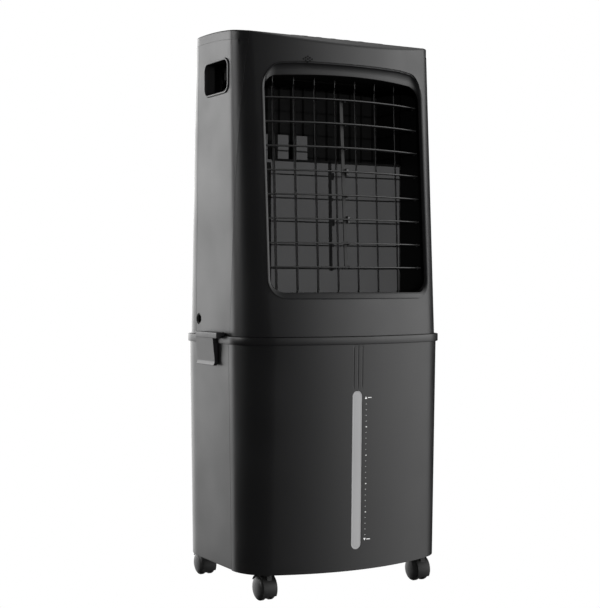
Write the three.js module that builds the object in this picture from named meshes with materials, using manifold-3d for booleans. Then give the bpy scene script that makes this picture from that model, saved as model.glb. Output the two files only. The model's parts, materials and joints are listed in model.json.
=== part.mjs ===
// Mobile evaporative cooler: an upper air unit standing on a wheeled water tank.
// Millimetres, +X right, +Y back, +Z up; the origin is on the floor under the middle of the footprint.
import * as THREE from 'three';
import { mergeVertices } from 'three/addons/utils/BufferGeometryUtils.js';
import Module from 'manifold-3d';

const wasm = await Module();
wasm.setup();

// ---------------------------------------------------------------- driving dimensions
const GAP = 0.3;                // clearance between pieces that touch
const WALL = 3;                 // moulded wall of every casing
const BULGE = 62;               // how far the front bows out between its two sides
const CREST_Z = 1150;           // highest line of the top cover

// distances that lie beyond the casing, for the shapes that cut it
const FAR_X = 300;
const FAR_Y = 260;

const TANK_BOTTOM = 55;
const TANK_TOP = 511;
const RIM_TOP = 526.5;
const RIM_PROUD = 4.5;
const UPPER_BOTTOM = 527;

// plan outline of the casing at four heights: half width, front apex, rear face, corner radii
const TANK_LOW = {
  z: TANK_BOTTOM, halfWidth: 234, front: -183.7, rear: 190.2,
  frontCorner: 83, rearCorner: 88,
};
const TANK_HIGH = {
  z: TANK_TOP, halfWidth: 239.5, front: -192.2, rear: 192.2,
  frontCorner: 93, rearCorner: 90,
};
const UPPER_LOW = {
  z: UPPER_BOTTOM, halfWidth: 237, front: -186.5, rear: 175,
  frontCorner: 84, rearCorner: 70,
};
const UPPER_HIGH = {
  z: CREST_Z, halfWidth: 233.5, front: -147.6, rear: 156,
  frontCorner: 50, rearCorner: 70,
};

// seams between the casing pieces, as (y, z) end points
const TANK_SEAM = [[-62.5, TANK_BOTTOM], [-60.5, TANK_TOP]];
const FRONT_SEAM = [[-60.5, UPPER_BOTTOM], [-98, 1134]];
const REAR_SEAM = [[97, UPPER_BOTTOM], [89, 1134]];

// crowned top: a circle arc about a line across the cooler, then a steeper slope at the front
const CROWN_Y = 80;
const CROWN_RADIUS = 1100;
const CROWN_FRONT_Y = -98;
const FRONT_SLOPE = 0.37;
const SKIRT = 19;

// air outlet and its louvres
const OUTLET = { halfWidth: 188, bottom: 612, top: 1050, corner: 30 };
const BEZEL_DEPTH = 16;
const BEZEL_SPREAD = 17;
const FRAME_WALL = 8;
const FRAME_BACK = -40;
const BLADES = 8;
const BLADE_TOP_Z = 1006;
const BLADE_PITCH = 48.6;
const BLADE_DEPTH = 18;         // front edge behind the casing's face
const BLADE_CHORD = 22;
const BLADE_THICK = 2;
const VANES = 7;
const VANE_PITCH = 49;
const VANE_CHORD = 24;
const VANE_THICK = 2.4;
const VANE_REST_TURN = 37;      // degrees each vane is turned at rest
const VANE_LEAN = 2.48;         // degrees, parallel to the leaning front
const VANE_AXIS = { y: -92, z: 620 };
const PIN = 2;                  // radius of louvre pins
const PIN_HOLE = 2.5;

// fan
const FAN = { x: 15, z: 725, radius: 95 };
const PLATE = { left: -130, right: 187, bottom: 560, top: 888, y: -38 };
const SCROLL_BACK = 62;
const DUCT = {
  halfWidth: 192, wall: 2.5, front: -34.5, back: 61, bottom: 889, top: 1057,
  mouthLeft: -118, mouthRight: 182, baffleBottom: 600,
};
const UPSTAND = { tall: 52, spans: [[-70, -44], [-114, -89], [-151, -138]] };

// rear filter
const FILTER = { halfWidth: 166, bottom: 575, top: 1095 };
const PAD = { halfWidth: 150, front: 90, back: 130, bottom: 553, top: 1066 };

// water level window in the tank's front
const WINDOW = { x: -15, width: 23, bottom: 97, top: 417.5 };

// twin-wheel casters
const CASTER = { x: 184.5, frontY: -124, rearY: 153, wheel: 25, trail: 14, width: 39 };

// ---------------------------------------------------------------- solids
function solid(geometry) {
  const plain = geometry.index ? geometry : geometry.clone();
  plain.deleteAttribute('normal');
  plain.deleteAttribute('uv');
  const merged = mergeVertices(plain, 1e-4);
  return new wasm.Manifold(new wasm.Mesh({
    numProp: 3,
    vertProperties: new Float32Array(merged.attributes.position.array),
    triVerts: new Uint32Array(merged.index.array),
  }));
}

function geometryOf(manifold) {
  const mesh = manifold.getMesh();
  const geometry = new THREE.BufferGeometry();
  geometry.setAttribute('position', new THREE.BufferAttribute(new Float32Array(mesh.vertProperties), 3));
  geometry.setIndex(new THREE.BufferAttribute(new Uint32Array(mesh.triVerts), 1));
  geometry.computeVertexNormals();
  return geometry;
}

function box(x0, x1, y0, y1, z0, z1) {
  const geometry = new THREE.BoxGeometry(x1 - x0, y1 - y0, z1 - z0);
  geometry.translate((x0 + x1) / 2, (y0 + y1) / 2, (z0 + z1) / 2);
  return solid(geometry);
}

const AXIS_TURN = {
  x: new THREE.Matrix4().makeRotationZ(-Math.PI / 2),
  y: new THREE.Matrix4(),
  z: new THREE.Matrix4().makeRotationX(Math.PI / 2),
};

// a cylinder whose first end is centred on a point, along an axis for a length
function rod(axis, [x, y, z], length, radius, segments = 12) {
  const geometry = new THREE.CylinderGeometry(radius, radius, length, segments);
  geometry.translate(0, length / 2, 0);
  geometry.applyMatrix4(AXIS_TURN[axis]);
  geometry.translate(x, y, z);
  return solid(geometry);
}

// a closed profile of [radius, height] points turned about an axis through a centre
function turned(axis, [x, y, z], profile, segments = 20) {
  const points = [...profile, profile[0]].map(([r, h]) => new THREE.Vector2(r, h));
  const geometry = new THREE.LatheGeometry(points, segments);
  geometry.applyMatrix4(AXIS_TURN[axis]);
  geometry.translate(x, y, z);
  return solid(geometry);
}

// closed skin through sections that have the same number of points, from the lowest up
function loft(sections) {
  const count = sections[0].length;
  const positions = sections.flat().flatMap((p) => [p.x, p.y, p.z]);
  const index = [];
  for (let s = 0; s + 1 < sections.length; s += 1) {
    for (let i = 0; i < count; i += 1) {
      const a = s * count + i;
      const b = s * count + ((i + 1) % count);
      index.push(a, b, b + count, a, b + count, a + count);
    }
  }
  const flat = sections[0].map((p) => new THREE.Vector2(p.x, p.y));
  const last = (sections.length - 1) * count;
  for (const [a, b, c] of THREE.ShapeUtils.triangulateShape(flat, [])) {
    index.push(a, c, b, last + a, last + b, last + c);
  }
  const geometry = new THREE.BufferGeometry();
  geometry.setAttribute('position', new THREE.Float32BufferAttribute(positions, 3));
  geometry.setIndex(index);
  return solid(geometry);
}

// shape in (y, z) pushed along x, and shape in (x, z) pushed along y
const ALONG_X = new THREE.Matrix4().makeBasis(
  new THREE.Vector3(0, 1, 0), new THREE.Vector3(0, 0, 1), new THREE.Vector3(1, 0, 0));
const ALONG_Y = new THREE.Matrix4().makeBasis(
  new THREE.Vector3(1, 0, 0), new THREE.Vector3(0, 0, 1), new THREE.Vector3(0, -1, 0));

function prismX(shape, x0, x1, curveSegments = 3) {
  const geometry = new THREE.ExtrudeGeometry(shape, { depth: x1 - x0, bevelEnabled: false, curveSegments });
  geometry.applyMatrix4(ALONG_X);
  geometry.translate(x0, 0, 0);
  return solid(geometry);
}

function prismY(shape, y0, y1, curveSegments = 3) {
  const geometry = new THREE.ExtrudeGeometry(shape, { depth: y1 - y0, bevelEnabled: false, curveSegments });
  geometry.applyMatrix4(ALONG_Y);
  geometry.translate(0, y1, 0);
  return solid(geometry);
}

function prismZ(shape, z0, z1, curveSegments = 3) {
  const geometry = new THREE.ExtrudeGeometry(shape, { depth: z1 - z0, bevelEnabled: false, curveSegments });
  geometry.translate(0, 0, z0);
  return solid(geometry);
}

function polygon(points) {
  return new THREE.Shape(points.map(([u, v]) => new THREE.Vector2(u, v)));
}

function roundedRect(u0, u1, v0, v1, r) {
  const shape = new THREE.Shape();
  shape.moveTo(u0 + r, v0);
  shape.lineTo(u1 - r, v0);
  shape.absarc(u1 - r, v0 + r, r, -Math.PI / 2, 0);
  shape.lineTo(u1, v1 - r);
  shape.absarc(u1 - r, v1 - r, r, 0, Math.PI / 2);
  shape.lineTo(u0 + r, v1);
  shape.absarc(u0 + r, v1 - r, r, Math.PI / 2, Math.PI);
  shape.lineTo(u0, v0 + r);
  shape.absarc(u0 + r, v0 + r, r, Math.PI, Math.PI * 1.5);
  return shape;
}

const union = (list) => list.reduce((a, b) => a.add(b));
const mix = (a, b, t) => a + (b - a) * t;

// the x range between two distances from the middle, on one side of it
const across = (side, inner, outer) => (side < 0 ? [-outer, -inner] : [inner, outer]);

// ---------------------------------------------------------------- the casing's own surface
function sectionBetween(low, high, z) {
  const t = (z - low.z) / (high.z - low.z);
  const at = (key) => mix(low[key], high[key], t);
  return {
    halfWidth: at('halfWidth'), front: at('front'), rear: at('rear'),
    frontCorner: at('frontCorner'), rearCorner: at('rearCorner'),
  };
}

const tankAt = (z) => sectionBetween(TANK_LOW, TANK_HIGH, z);
const upperAt = (z) => sectionBetween(UPPER_LOW, UPPER_HIGH, z);

// y of the bowed front at a place across it
const bow = (section, x) => section.front + BULGE * (x / section.halfWidth) ** 2;

// arc that joins the bowed front to the side, on an outline moved inwards by an inset
function frontCorner(section, inset) {
  const halfWidth = section.halfWidth - inset;
  const radius = Math.max(section.frontCorner - inset, 2);
  const slopeAt = (x) => (2 * BULGE * x) / section.halfWidth ** 2;
  let touch = halfWidth - radius;
  for (let i = 0; i < 8; i += 1) {
    const slope = slopeAt(touch);
    touch = halfWidth - radius + (radius * slope) / Math.hypot(1, slope);
  }
  const slope = slopeAt(touch);
  return {
    radius, touch,
    start: Math.atan2(-1, slope),
    x: halfWidth - radius,
    y: bow(section, touch) + inset + radius / Math.hypot(1, slope),
  };
}

// y of the upper casing's front, on to its rounded corners
function upperFace(x, z) {
  const section = upperAt(z);
  const arc = frontCorner(section, 0);
  if (Math.abs(x) <= arc.touch) {
    return bow(section, x);
  }
  return arc.y - Math.sqrt(arc.radius ** 2 - (Math.abs(x) - arc.x) ** 2);
}

// closed outline at a height, moved inwards by an inset
function outline(section, z, inset) {
  const frontSteps = 10;
  const cornerSteps = 4;
  const halfWidth = section.halfWidth - inset;
  const rear = section.rear - inset;
  const rr = Math.max(section.rearCorner - inset, 2);
  const arc = frontCorner(section, inset);
  const points = [];
  for (let i = 0; i <= frontSteps; i += 1) {
    const x = mix(-arc.touch, arc.touch, i / frontSteps);
    points.push([x, bow(section, x) + inset]);
  }
  for (let i = 1; i <= cornerSteps; i += 1) {
    const angle = mix(arc.start, 0, i / cornerSteps);
    points.push([arc.x + arc.radius * Math.cos(angle), arc.y + arc.radius * Math.sin(angle)]);
  }
  for (let i = 0; i <= cornerSteps; i += 1) {
    const angle = (Math.PI / 2) * (i / cornerSteps);
    points.push([halfWidth - rr + rr * Math.cos(angle), rear - rr + rr * Math.sin(angle)]);
  }
  for (let i = 0; i <= cornerSteps; i += 1) {
    const angle = (Math.PI / 2) * (1 + i / cornerSteps);
    points.push([-halfWidth + rr + rr * Math.cos(angle), rear - rr + rr * Math.sin(angle)]);
  }
  for (let i = 0; i < cornerSteps; i += 1) {
    const angle = Math.PI - mix(0, arc.start, i / cornerSteps);
    points.push([-arc.x + arc.radius * Math.cos(angle), arc.y + arc.radius * Math.sin(angle)]);
  }
  return points.map(([x, y]) => new THREE.Vector3(x, y, z));
}

function body(sectionAt, z0, z1, inset) {
  return loft([outline(sectionAt(z0), z0, inset), outline(sectionAt(z1), z1, inset)]);
}

const seamAt = ([[y0, z0], [y1, z1]], z) => mix(y0, y1, (z - z0) / (z1 - z0));

// everything in front of a seam, between two heights; shift moves the seam back
function ahead(seam, z0, z1, shift) {
  return prismX(polygon([
    [-FAR_Y, z0], [seamAt(seam, z0) + shift, z0], [seamAt(seam, z1) + shift, z1], [-FAR_Y, z1],
  ]), -FAR_X, FAR_X);
}

// height of the crowned top at a place front to back
function crown(y) {
  const arc = (at) => CREST_Z - (at - CROWN_Y) ** 2 / (2 * CROWN_RADIUS);
  return y > CROWN_FRONT_Y ? arc(y) : arc(CROWN_FRONT_Y) + (y - CROWN_FRONT_Y) * FRONT_SLOPE;
}

// everything under the crowned top lowered by a drop
function underCrown(drop, floor = 400) {
  const points = [[-FAR_Y, floor], [FAR_Y, floor], [FAR_Y, crown(FAR_Y) - drop]];
  for (let y = 170; y > CROWN_FRONT_Y; y -= 30) {
    points.push([y, crown(y) - drop]);
  }
  points.push([CROWN_FRONT_Y, crown(CROWN_FRONT_Y) - drop], [-FAR_Y, crown(-FAR_Y) - drop]);
  return prismX(polygon(points), -FAR_X, FAR_X);
}

// ---------------------------------------------------------------- materials
const PALETTE = {
  housing: [0x1b1b1c, 0.42],
  inner: [0x101011, 0.6],
  louvre: [0x232324, 0.4],
  plate: [0x5c5c5d, 0.55],
  pad: [0x8a6a44, 0.95],
  window: [0xc6c8c9, 0.25],
  hose: [0xd6d8da, 0.35],
  rubber: [0x141414, 0.8],
  metal: [0xa8aaad, 0.35],
};

const cooler = new THREE.Group();

function piece(name, shape, look) {
  const [color, roughness] = PALETTE[look];
  const metalness = look === 'metal' ? 1 : 0;
  const material = new THREE.MeshStandardMaterial({ color, roughness, metalness });
  const geometry = shape.isBufferGeometry ? shape : geometryOf(shape);
  const mesh = new THREE.Mesh(geometry, material);
  mesh.name = name;
  cooler.add(mesh);
  return mesh;
}

// ---------------------------------------------------------------- upper casing
const upperShell = body(upperAt, UPPER_BOTTOM, CREST_Z + 5, 0)
  .subtract(body(upperAt, UPPER_BOTTOM - 1, CREST_Z + 6, WALL));

// rounded outline of the outlet grown by an offset, as points of (x, z)
function outletOutline(grow, arcSteps = 4, sideSteps = 8) {
  const r = OUTLET.corner + grow;
  const halfWidth = OUTLET.halfWidth + grow;
  const bottom = OUTLET.bottom - grow;
  const top = OUTLET.top + grow;
  const centres = [
    [halfWidth - r, bottom + r, -Math.PI / 2],
    [halfWidth - r, top - r, 0],
    [-halfWidth + r, top - r, Math.PI / 2],
    [-halfWidth + r, bottom + r, Math.PI],
  ];
  const points = [];
  centres.forEach(([x, z, from], corner) => {
    for (let i = 0; i <= arcSteps; i += 1) {
      const angle = from + (Math.PI / 2) * (i / arcSteps);
      points.push([x + r * Math.cos(angle), z + r * Math.sin(angle)]);
    }
    if (corner % 2 === 1) {
      const [x0, z0] = points[points.length - 1];
      for (let i = 1; i < sideSteps; i += 1) {
        points.push([mix(x0, -x0, i / sideSteps), z0]);
      }
    }
  });
  return points;
}

// a ring around the outlet whose section is given as [outward offset, depth behind the face]
function outletRing(section) {
  const loops = section.map(([grow, depth]) => outletOutline(grow)
    .map(([x, z]) => [x, upperFace(x, z) + depth, z]));
  const count = loops[0].length;
  const rings = loops.length;
  const index = [];
  for (let s = 0; s < rings; s += 1) {
    const next = (s + 1) % rings;
    for (let i = 0; i < count; i += 1) {
      const j = (i + 1) % count;
      index.push(s * count + i, next * count + j, s * count + j);
      index.push(s * count + i, next * count + i, next * count + j);
    }
  }
  const geometry = new THREE.BufferGeometry();
  geometry.setAttribute('position', new THREE.Float32BufferAttribute(loops.flat(2), 3));
  geometry.setIndex(index);
  return solid(geometry);
}

function frontHousing() {
  const skin = upperShell
    .intersect(ahead(FRONT_SEAM, UPPER_BOTTOM - 1, CREST_Z + 10, -GAP / 2))
    .intersect(underCrown(WALL + GAP));
  const mouth = prismY(roundedRect(
    -OUTLET.halfWidth - BEZEL_SPREAD, OUTLET.halfWidth + BEZEL_SPREAD,
    OUTLET.bottom - BEZEL_SPREAD / 2, OUTLET.top + BEZEL_SPREAD, OUTLET.corner + 8), -FAR_Y, 0);
  const cove = outletRing([
    [0, BEZEL_DEPTH], [0, BEZEL_DEPTH - 4], [6, 5], [BEZEL_SPREAD + 1, 0.4],
    [BEZEL_SPREAD + 5, 4], [8, BEZEL_DEPTH],
  ]);
  return skin.subtract(mouth).add(cove);
}

const HANDLE = { front: -52, back: 60, bottom: 1017, top: 1089, corner: 18, depth: 33, proud: 5 };
// draw latch on each side: a bar across its top, hinged on the upper casing, and a flap over the tank
const LATCH = {
  barFront: -40, barBack: 59, barTop: 534, barBottom: 522, barOut: 256.6,
  flapFront: -12, flapBack: 70, bottom: 465.5, axisX: 243.5, axisZ: 530.2,
};
const LUG = { front: 4, back: 16, inner: 234.4, outer: 247, hole: 1.9 };
const CATCH = { front: 20, back: 40, bottom: 478, top: 490, depth: 3 };
const INLET = { y: 84, z: 559, radius: 11.5 };

// the latch turns on a pin through this lug, which stands out of the side panel behind the latch's bar
function latchLug(side) {
  const long = LUG.back - LUG.front;
  return box(...across(side, LUG.inner, LUG.outer), LUG.front, LUG.back, UPPER_BOTTOM + 0.2, LATCH.barTop)
    .subtract(rod('y', [side * LATCH.axisX, LUG.front - 1, LATCH.axisZ], long + 2, LUG.hole, 8));
}

function sidePanel(side) {
  const lower = seamAt(REAR_SEAM, UPPER_BOTTOM);
  const upper = seamAt(REAR_SEAM, CREST_Z);
  const half = box(...across(side, 0, FAR_X), -FAR_Y, FAR_Y, TANK_TOP, CREST_Z + 10);
  const strip = prismX(polygon([
    [seamAt(FRONT_SEAM, UPPER_BOTTOM - 1) + GAP / 2, UPPER_BOTTOM - 1], [lower - GAP / 2, UPPER_BOTTOM - 1],
    [upper - GAP / 2, CREST_Z], [seamAt(FRONT_SEAM, CREST_Z) + GAP / 2, CREST_Z],
  ]), -FAR_X, FAR_X);
  const handleHole = prismX(
    roundedRect(HANDLE.front, HANDLE.back, HANDLE.bottom, HANDLE.top, HANDLE.corner),
    ...across(side, 200, FAR_X));
  let panel = upperShell.intersect(strip).intersect(half).intersect(underCrown(SKIRT + GAP));
  panel = panel.subtract(handleHole).add(latchLug(side));
  if (side < 0) {
    panel = panel.subtract(rod('x', [-FAR_X, INLET.y, INLET.z], 100, INLET.radius, 14));
  }
  return panel;
}

function handleCup(side) {
  const face = upperAt(HANDLE.bottom).halfWidth - 1;
  const c = 0.6;
  const back = face - HANDLE.depth;
  const shape = (inset) => roundedRect(HANDLE.front + inset, HANDLE.back - inset,
    HANDLE.bottom + inset, HANDLE.top - inset, HANDLE.corner - inset);
  return prismX(shape(c), ...across(side, back, face + HANDLE.proud))
    .subtract(prismX(shape(c + WALL), ...across(side, back + WALL, face + HANDLE.proud + 2)));
}

// control panel: a flat plate let into the crowned top, tipped forward with it
const PANEL = { halfWidth: 112, front: -93, back: -37, tip: 7.5, corner: 8, plate: 4.8, lift: 0.6 };
const PANEL_Y = (PANEL.front + PANEL.back) / 2;
const PANEL_DEPTH = PANEL.back - PANEL.front;
const BUTTONS = 5;
const BUTTON = { pitch: 34, radius: 9, height: 7, proud: 2 };

// moves a shape drawn flat about the panel's middle (z = 0 at its upper face) to the panel's place
function onPanel(shape) {
  return shape.rotate([PANEL.tip, 0, 0]).translate([0, PANEL_Y, crown(PANEL_Y) + PANEL.lift]);
}

function topCover() {
  const top = body(upperAt, 1080, CREST_Z + 5, 0).intersect(underCrown(0));
  const hollow = body(upperAt, 1070, CREST_Z + 6, WALL).intersect(underCrown(WALL));
  const seam = ahead(FRONT_SEAM, 1060, CREST_Z + 10, GAP / 2);
  const lid = top.subtract(hollow).subtract(underCrown(WALL).intersect(seam))
    .subtract(underCrown(SKIRT));
  const hole = prismZ(roundedRect(-PANEL.halfWidth, PANEL.halfWidth,
    -PANEL_DEPTH / 2, PANEL_DEPTH / 2, PANEL.corner), -30, 30);
  return lid.subtract(onPanel(hole));
}

function controlPanel() {
  const c = 0.5;
  let plate = prismZ(roundedRect(-PANEL.halfWidth + c, PANEL.halfWidth - c,
    -PANEL_DEPTH / 2 + c, PANEL_DEPTH / 2 - c, PANEL.corner - c), -PANEL.plate, 0);
  const under = prismZ(roundedRect(-PANEL.halfWidth - 5, PANEL.halfWidth + 5,
    -PANEL_DEPTH / 2 - 5, PANEL_DEPTH / 2 + 5, PANEL.corner + 4), -PANEL.plate - 3, -PANEL.plate);
  plate = plate.add(under);
  for (let i = 0; i < BUTTONS; i += 1) {
    plate = plate.subtract(rod('z', [buttonX(i), 0, -20], 40, BUTTON.radius + 0.4, 14));
  }
  return onPanel(plate);
}

function buttonX(i) {
  return (i - (BUTTONS - 1) / 2) * BUTTON.pitch;
}

function button(i) {
  const cap = turned('z', [buttonX(i), 0, BUTTON.proud - BUTTON.height], [
    [0, 0], [BUTTON.radius, 0], [BUTTON.radius, BUTTON.height - 1], [BUTTON.radius - 1, BUTTON.height],
    [0, BUTTON.height],
  ], 14);
  return onPanel(cap);
}

// ---------------------------------------------------------------- rear casing and filter
const REAR_TILT = (Math.atan2(UPPER_LOW.rear - UPPER_HIGH.rear, UPPER_HIGH.z - UPPER_LOW.z) * 180) / Math.PI;

// turns a shape drawn against an upright rear face so that it leans with the casing
function leanRear(shape) {
  return shape.translate([0, -UPPER_LOW.rear, -UPPER_LOW.z])
    .rotate([REAR_TILT, 0, 0]).translate([0, UPPER_LOW.rear, UPPER_LOW.z]);
}

function filterOpening(grow, y0, y1, r) {
  return leanRear(prismY(roundedRect(-FILTER.halfWidth - grow, FILTER.halfWidth + grow,
    FILTER.bottom - grow, FILTER.top + grow, r), y0, y1));
}

function rearFrame() {
  const shell = upperShell
    .subtract(ahead(REAR_SEAM, UPPER_BOTTOM - 2, CREST_Z + 10, GAP / 2))
    .intersect(underCrown(SKIRT + GAP));
  return shell
    .add(filterOpening(4, UPPER_LOW.rear - 18, UPPER_LOW.rear - 1.5, 10))
    .subtract(filterOpening(0, UPPER_LOW.rear - 14.7, UPPER_LOW.rear + 10, 6))
    .subtract(filterOpening(-8, UPPER_LOW.rear - 30, UPPER_LOW.rear + 10, 4))
    .subtract(rod('y', [-120, UPPER_LOW.rear - 10, 550], 20, 7.6, 12));
}

function filterFrame() {
  const y0 = UPPER_LOW.rear - 14.2;
  const y1 = UPPER_LOW.rear - 1;
  let frame = filterOpening(-0.8, y0, y1, 5.5).subtract(filterOpening(-16, y0 - 5, y1 + 5, 4));
  const w = FILTER.halfWidth - 14;
  const bars = [];
  for (const x of [-75, 0, 75]) {
    bars.push(leanRear(box(x - 2, x + 2, y0 + 5, y1 - 2, FILTER.bottom + 12, FILTER.top - 12)));
  }
  for (let i = 1; i < 6; i += 1) {
    const z = mix(FILTER.bottom, FILTER.top, i / 6);
    bars.push(leanRear(box(-w, w, y0 + 5.5, y1 - 2.5, z - 2, z + 2)));
  }
  frame = frame.add(union(bars));
  // finger grips at the top edge
  for (const x of [-80, 80]) {
    frame = frame.subtract(leanRear(prismY(
      roundedRect(x - 22, x + 22, FILTER.top - 14, FILTER.top + 4, 5), y1 - 8, y1 + 5)));
  }
  return frame;
}

function coolingPad() {
  return box(-PAD.halfWidth, PAD.halfWidth, PAD.front, PAD.back, PAD.bottom, PAD.top);
}

function waterDistributor() {
  const x = PAD.halfWidth;
  const trough = box(-x, x, PAD.front - 2, PAD.back + 2, PAD.top + 3, PAD.top + 27)
    .subtract(box(-x + 2.5, x - 2.5, PAD.front + 0.5, PAD.back - 0.5, PAD.top + 6, PAD.top + 40));
  const drips = [];
  for (let i = -2; i <= 2; i += 1) {
    drips.push(box(i * 55 - 8, i * 55 + 8, 107, 113, PAD.top, PAD.top + 10));
  }
  return trough.subtract(union(drips));
}

function baseTray() {
  const plate = body(upperAt, UPPER_BOTTOM + 2, UPPER_BOTTOM + 6, WALL + 1);
  const z = UPPER_BOTTOM + 6;
  const cradle = [PAD.front - 5, PAD.back + 1].map((y) => box(-140, 140, y, y + 4, z - 1, PAD.bottom + 12));
  const shelf = box(-140, 140, PAD.front - 3, PAD.back + 3, z - 1, PAD.bottom - GAP)
    .subtract(box(-130, 130, PAD.front + 6, PAD.back - 6, z - 2, PAD.bottom + 5));
  return union([plate, shelf, ...cradle])
    .subtract(box(-130, 130, PAD.front + 6, PAD.back - 6, UPPER_BOTTOM, z + 1))
    .subtract(rod('z', [HOSE.x, HOSE.y, UPPER_BOTTOM - 5], 20, 9, 16));
}

// ---------------------------------------------------------------- fan
// outline of the spiral case, open at its mouth, as (x, z) points from the tongue round to the mouth
function scrollPath(grow) {
  const points = [];
  const steps = 18;
  for (let i = 0; i <= steps; i += 1) {
    const turn = i / steps;
    const angle = mix(65, 360, turn) * (Math.PI / 180);
    const r = mix(118, 168, turn) + grow;
    points.push([FAN.x + r * Math.cos(angle), FAN.z + r * Math.sin(angle)]);
  }
  points.push([FAN.x + 168 + grow, PLATE.top - 4]);
  return points;
}

function scrollHousing() {
  const wall = [...scrollPath(2.5), ...scrollPath(0).reverse()];
  const side = prismY(polygon(wall), PLATE.y + 3.4, SCROLL_BACK);
  const back = prismY(polygon(scrollPath(2)), SCROLL_BACK - 3, SCROLL_BACK)
    .subtract(rod('y', [FAN.x, SCROLL_BACK - 10, FAN.z], 20, 82, 20));
  const bell = turned('y', [FAN.x, SCROLL_BACK - 8, FAN.z], [[80, 0], [82.5, 0], [84, 8], [81, 8]]);
  const feet = [-70, 90].map((x) => box(x - 6, x + 6, -30, 55, UPPER_BOTTOM + 6 + GAP, FAN.z - 125));
  const hollow = prismY(polygon(scrollPath(0.5)), PLATE.y - 5, SCROLL_BACK - 3);
  return union([side, back, bell, union(feet).subtract(hollow)]);
}

// flat front of the spiral case with three upstands beside the mouth
function scrollPlate() {
  const top = PLATE.top + UPSTAND.tall;
  const shoulder = PLATE.top - 6;
  const edge = UPSTAND.spans.flatMap(([left, right]) => [
    [right, PLATE.top], [right, top], [left, top], [left, left < PLATE.left ? shoulder : PLATE.top],
  ]);
  return prismY(polygon([
    [PLATE.left, PLATE.bottom], [PLATE.right, PLATE.bottom], [PLATE.right, PLATE.top],
    ...edge, [PLATE.left, shoulder],
  ]), PLATE.y, PLATE.y + WALL);
}

// chamber over the fan case's mouth: it turns the air forward to the louvres, and its front wall
// hangs down to close the gap beside the case
function outletDuct() {
  const { halfWidth, wall, front, back, bottom, top } = DUCT;
  return box(-halfWidth, halfWidth, front, back, bottom, top)
    .subtract(box(-halfWidth + wall, halfWidth - wall, front - 5, back - wall, bottom + wall, top - wall))
    .subtract(box(DUCT.mouthLeft, DUCT.mouthRight, front - 5, back - wall, bottom - 5, bottom + wall + 5))
    .add(box(-halfWidth, PLATE.left - 1, front, front + wall, DUCT.baffleBottom, bottom + wall));
}

function fanMotor() {
  const y = PLATE.y + 3 + GAP;
  return turned('y', [FAN.x, y, FAN.z], [
    [0, 0], [46, 0], [46, 3], [42, 5], [42, 34], [36, 38], [10, 38], [10, 42], [4, 42], [4, 62], [0, 62],
  ], 16);
}

function impeller() {
  const y = PLATE.y + 14;
  const hub = turned('y', [FAN.x, y, FAN.z], [
    [4.6, 32], [49, 32], [49, 0], [FAN.radius, 0], [FAN.radius, 2.5], [51.5, 2.5],
    [51.5, 35], [12, 35], [12, 46], [4.6, 46],
  ], 18);
  const ring = turned('y', [FAN.x, y + 68, FAN.z], [
    [FAN.radius - 13, 0], [FAN.radius, 0], [FAN.radius, 3], [FAN.radius - 13, 3],
  ], 18);
  const blades = [];
  const count = 12;
  for (let i = 0; i < count; i += 1) {
    const blade = box(-0.8, 0.8, y + 1, y + 69, FAN.radius - 12.5, FAN.radius - 1.2)
      .rotate([0, (360 * i) / count, 0])
      .translate([FAN.x, 0, FAN.z]);
    blades.push(blade);
  }
  return union([hub, ring, ...blades]);
}

// ---------------------------------------------------------------- louvres
const bladeZ = (i) => BLADE_TOP_Z - i * BLADE_PITCH;
const bladeAxisY = (i) => upperFace(OUTLET.halfWidth, bladeZ(i)) + BLADE_DEPTH + BLADE_CHORD / 2;
const ROD = { x: -5.5, web: 3, flange: 8, flangeThick: 2.2, front: -4.4, back: 3.4, ends: 5 };
const LINK_PIN_BEHIND = 7;      // from a blade's rear edge to the middle of its link pin
const linkPinY = (i) => upperFace(0, bladeZ(i)) + BLADE_DEPTH + BLADE_CHORD + LINK_PIN_BEHIND;

const vaneX = (i) => (i - (VANES - 1) / 2) * VANE_PITCH;

// moves a shape drawn about an upright axis at x = y = 0 on to a vane's leaning axis
function onVaneAxis(shape, x) {
  return shape.translate([0, 0, -VANE_AXIS.z]).rotate([-VANE_LEAN, 0, 0])
    .translate([x, VANE_AXIS.y, VANE_AXIS.z]);
}

function louvreFrame() {
  const ring = (grow) => prismY(polygon(outletOutline(grow, 4, 1)), -FAR_Y, FRAME_BACK);
  const frame = ring(FRAME_WALL).subtract(ring(0).translate([0, 5, 0])).subtract(ring(0))
    .intersect(body(upperAt, 590, 1080, BEZEL_DEPTH + 0.6));
  const holes = [];
  for (let i = 0; i < BLADES; i += 1) {
    const span = OUTLET.halfWidth + FRAME_WALL + 4;
    holes.push(rod('x', [-span, bladeAxisY(i), bladeZ(i)], 2 * span, PIN_HOLE, 6));
  }
  for (let i = 0; i < VANES; i += 1) {
    const upright = rod('z', [0, 0, OUTLET.bottom - FRAME_WALL - 6],
      OUTLET.top - OUTLET.bottom + 2 * FRAME_WALL + 12, PIN_HOLE, 6);
    holes.push(onVaneAxis(upright, vaneX(i)));
  }
  return frame.subtract(union(holes));
}

// every second blade holds the link rod with a larger lug
const WIDE_LUG = { thick: 4.5, half: 7.5 };
const NARROW_LUG = { thick: 2.5, half: 3 };

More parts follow.
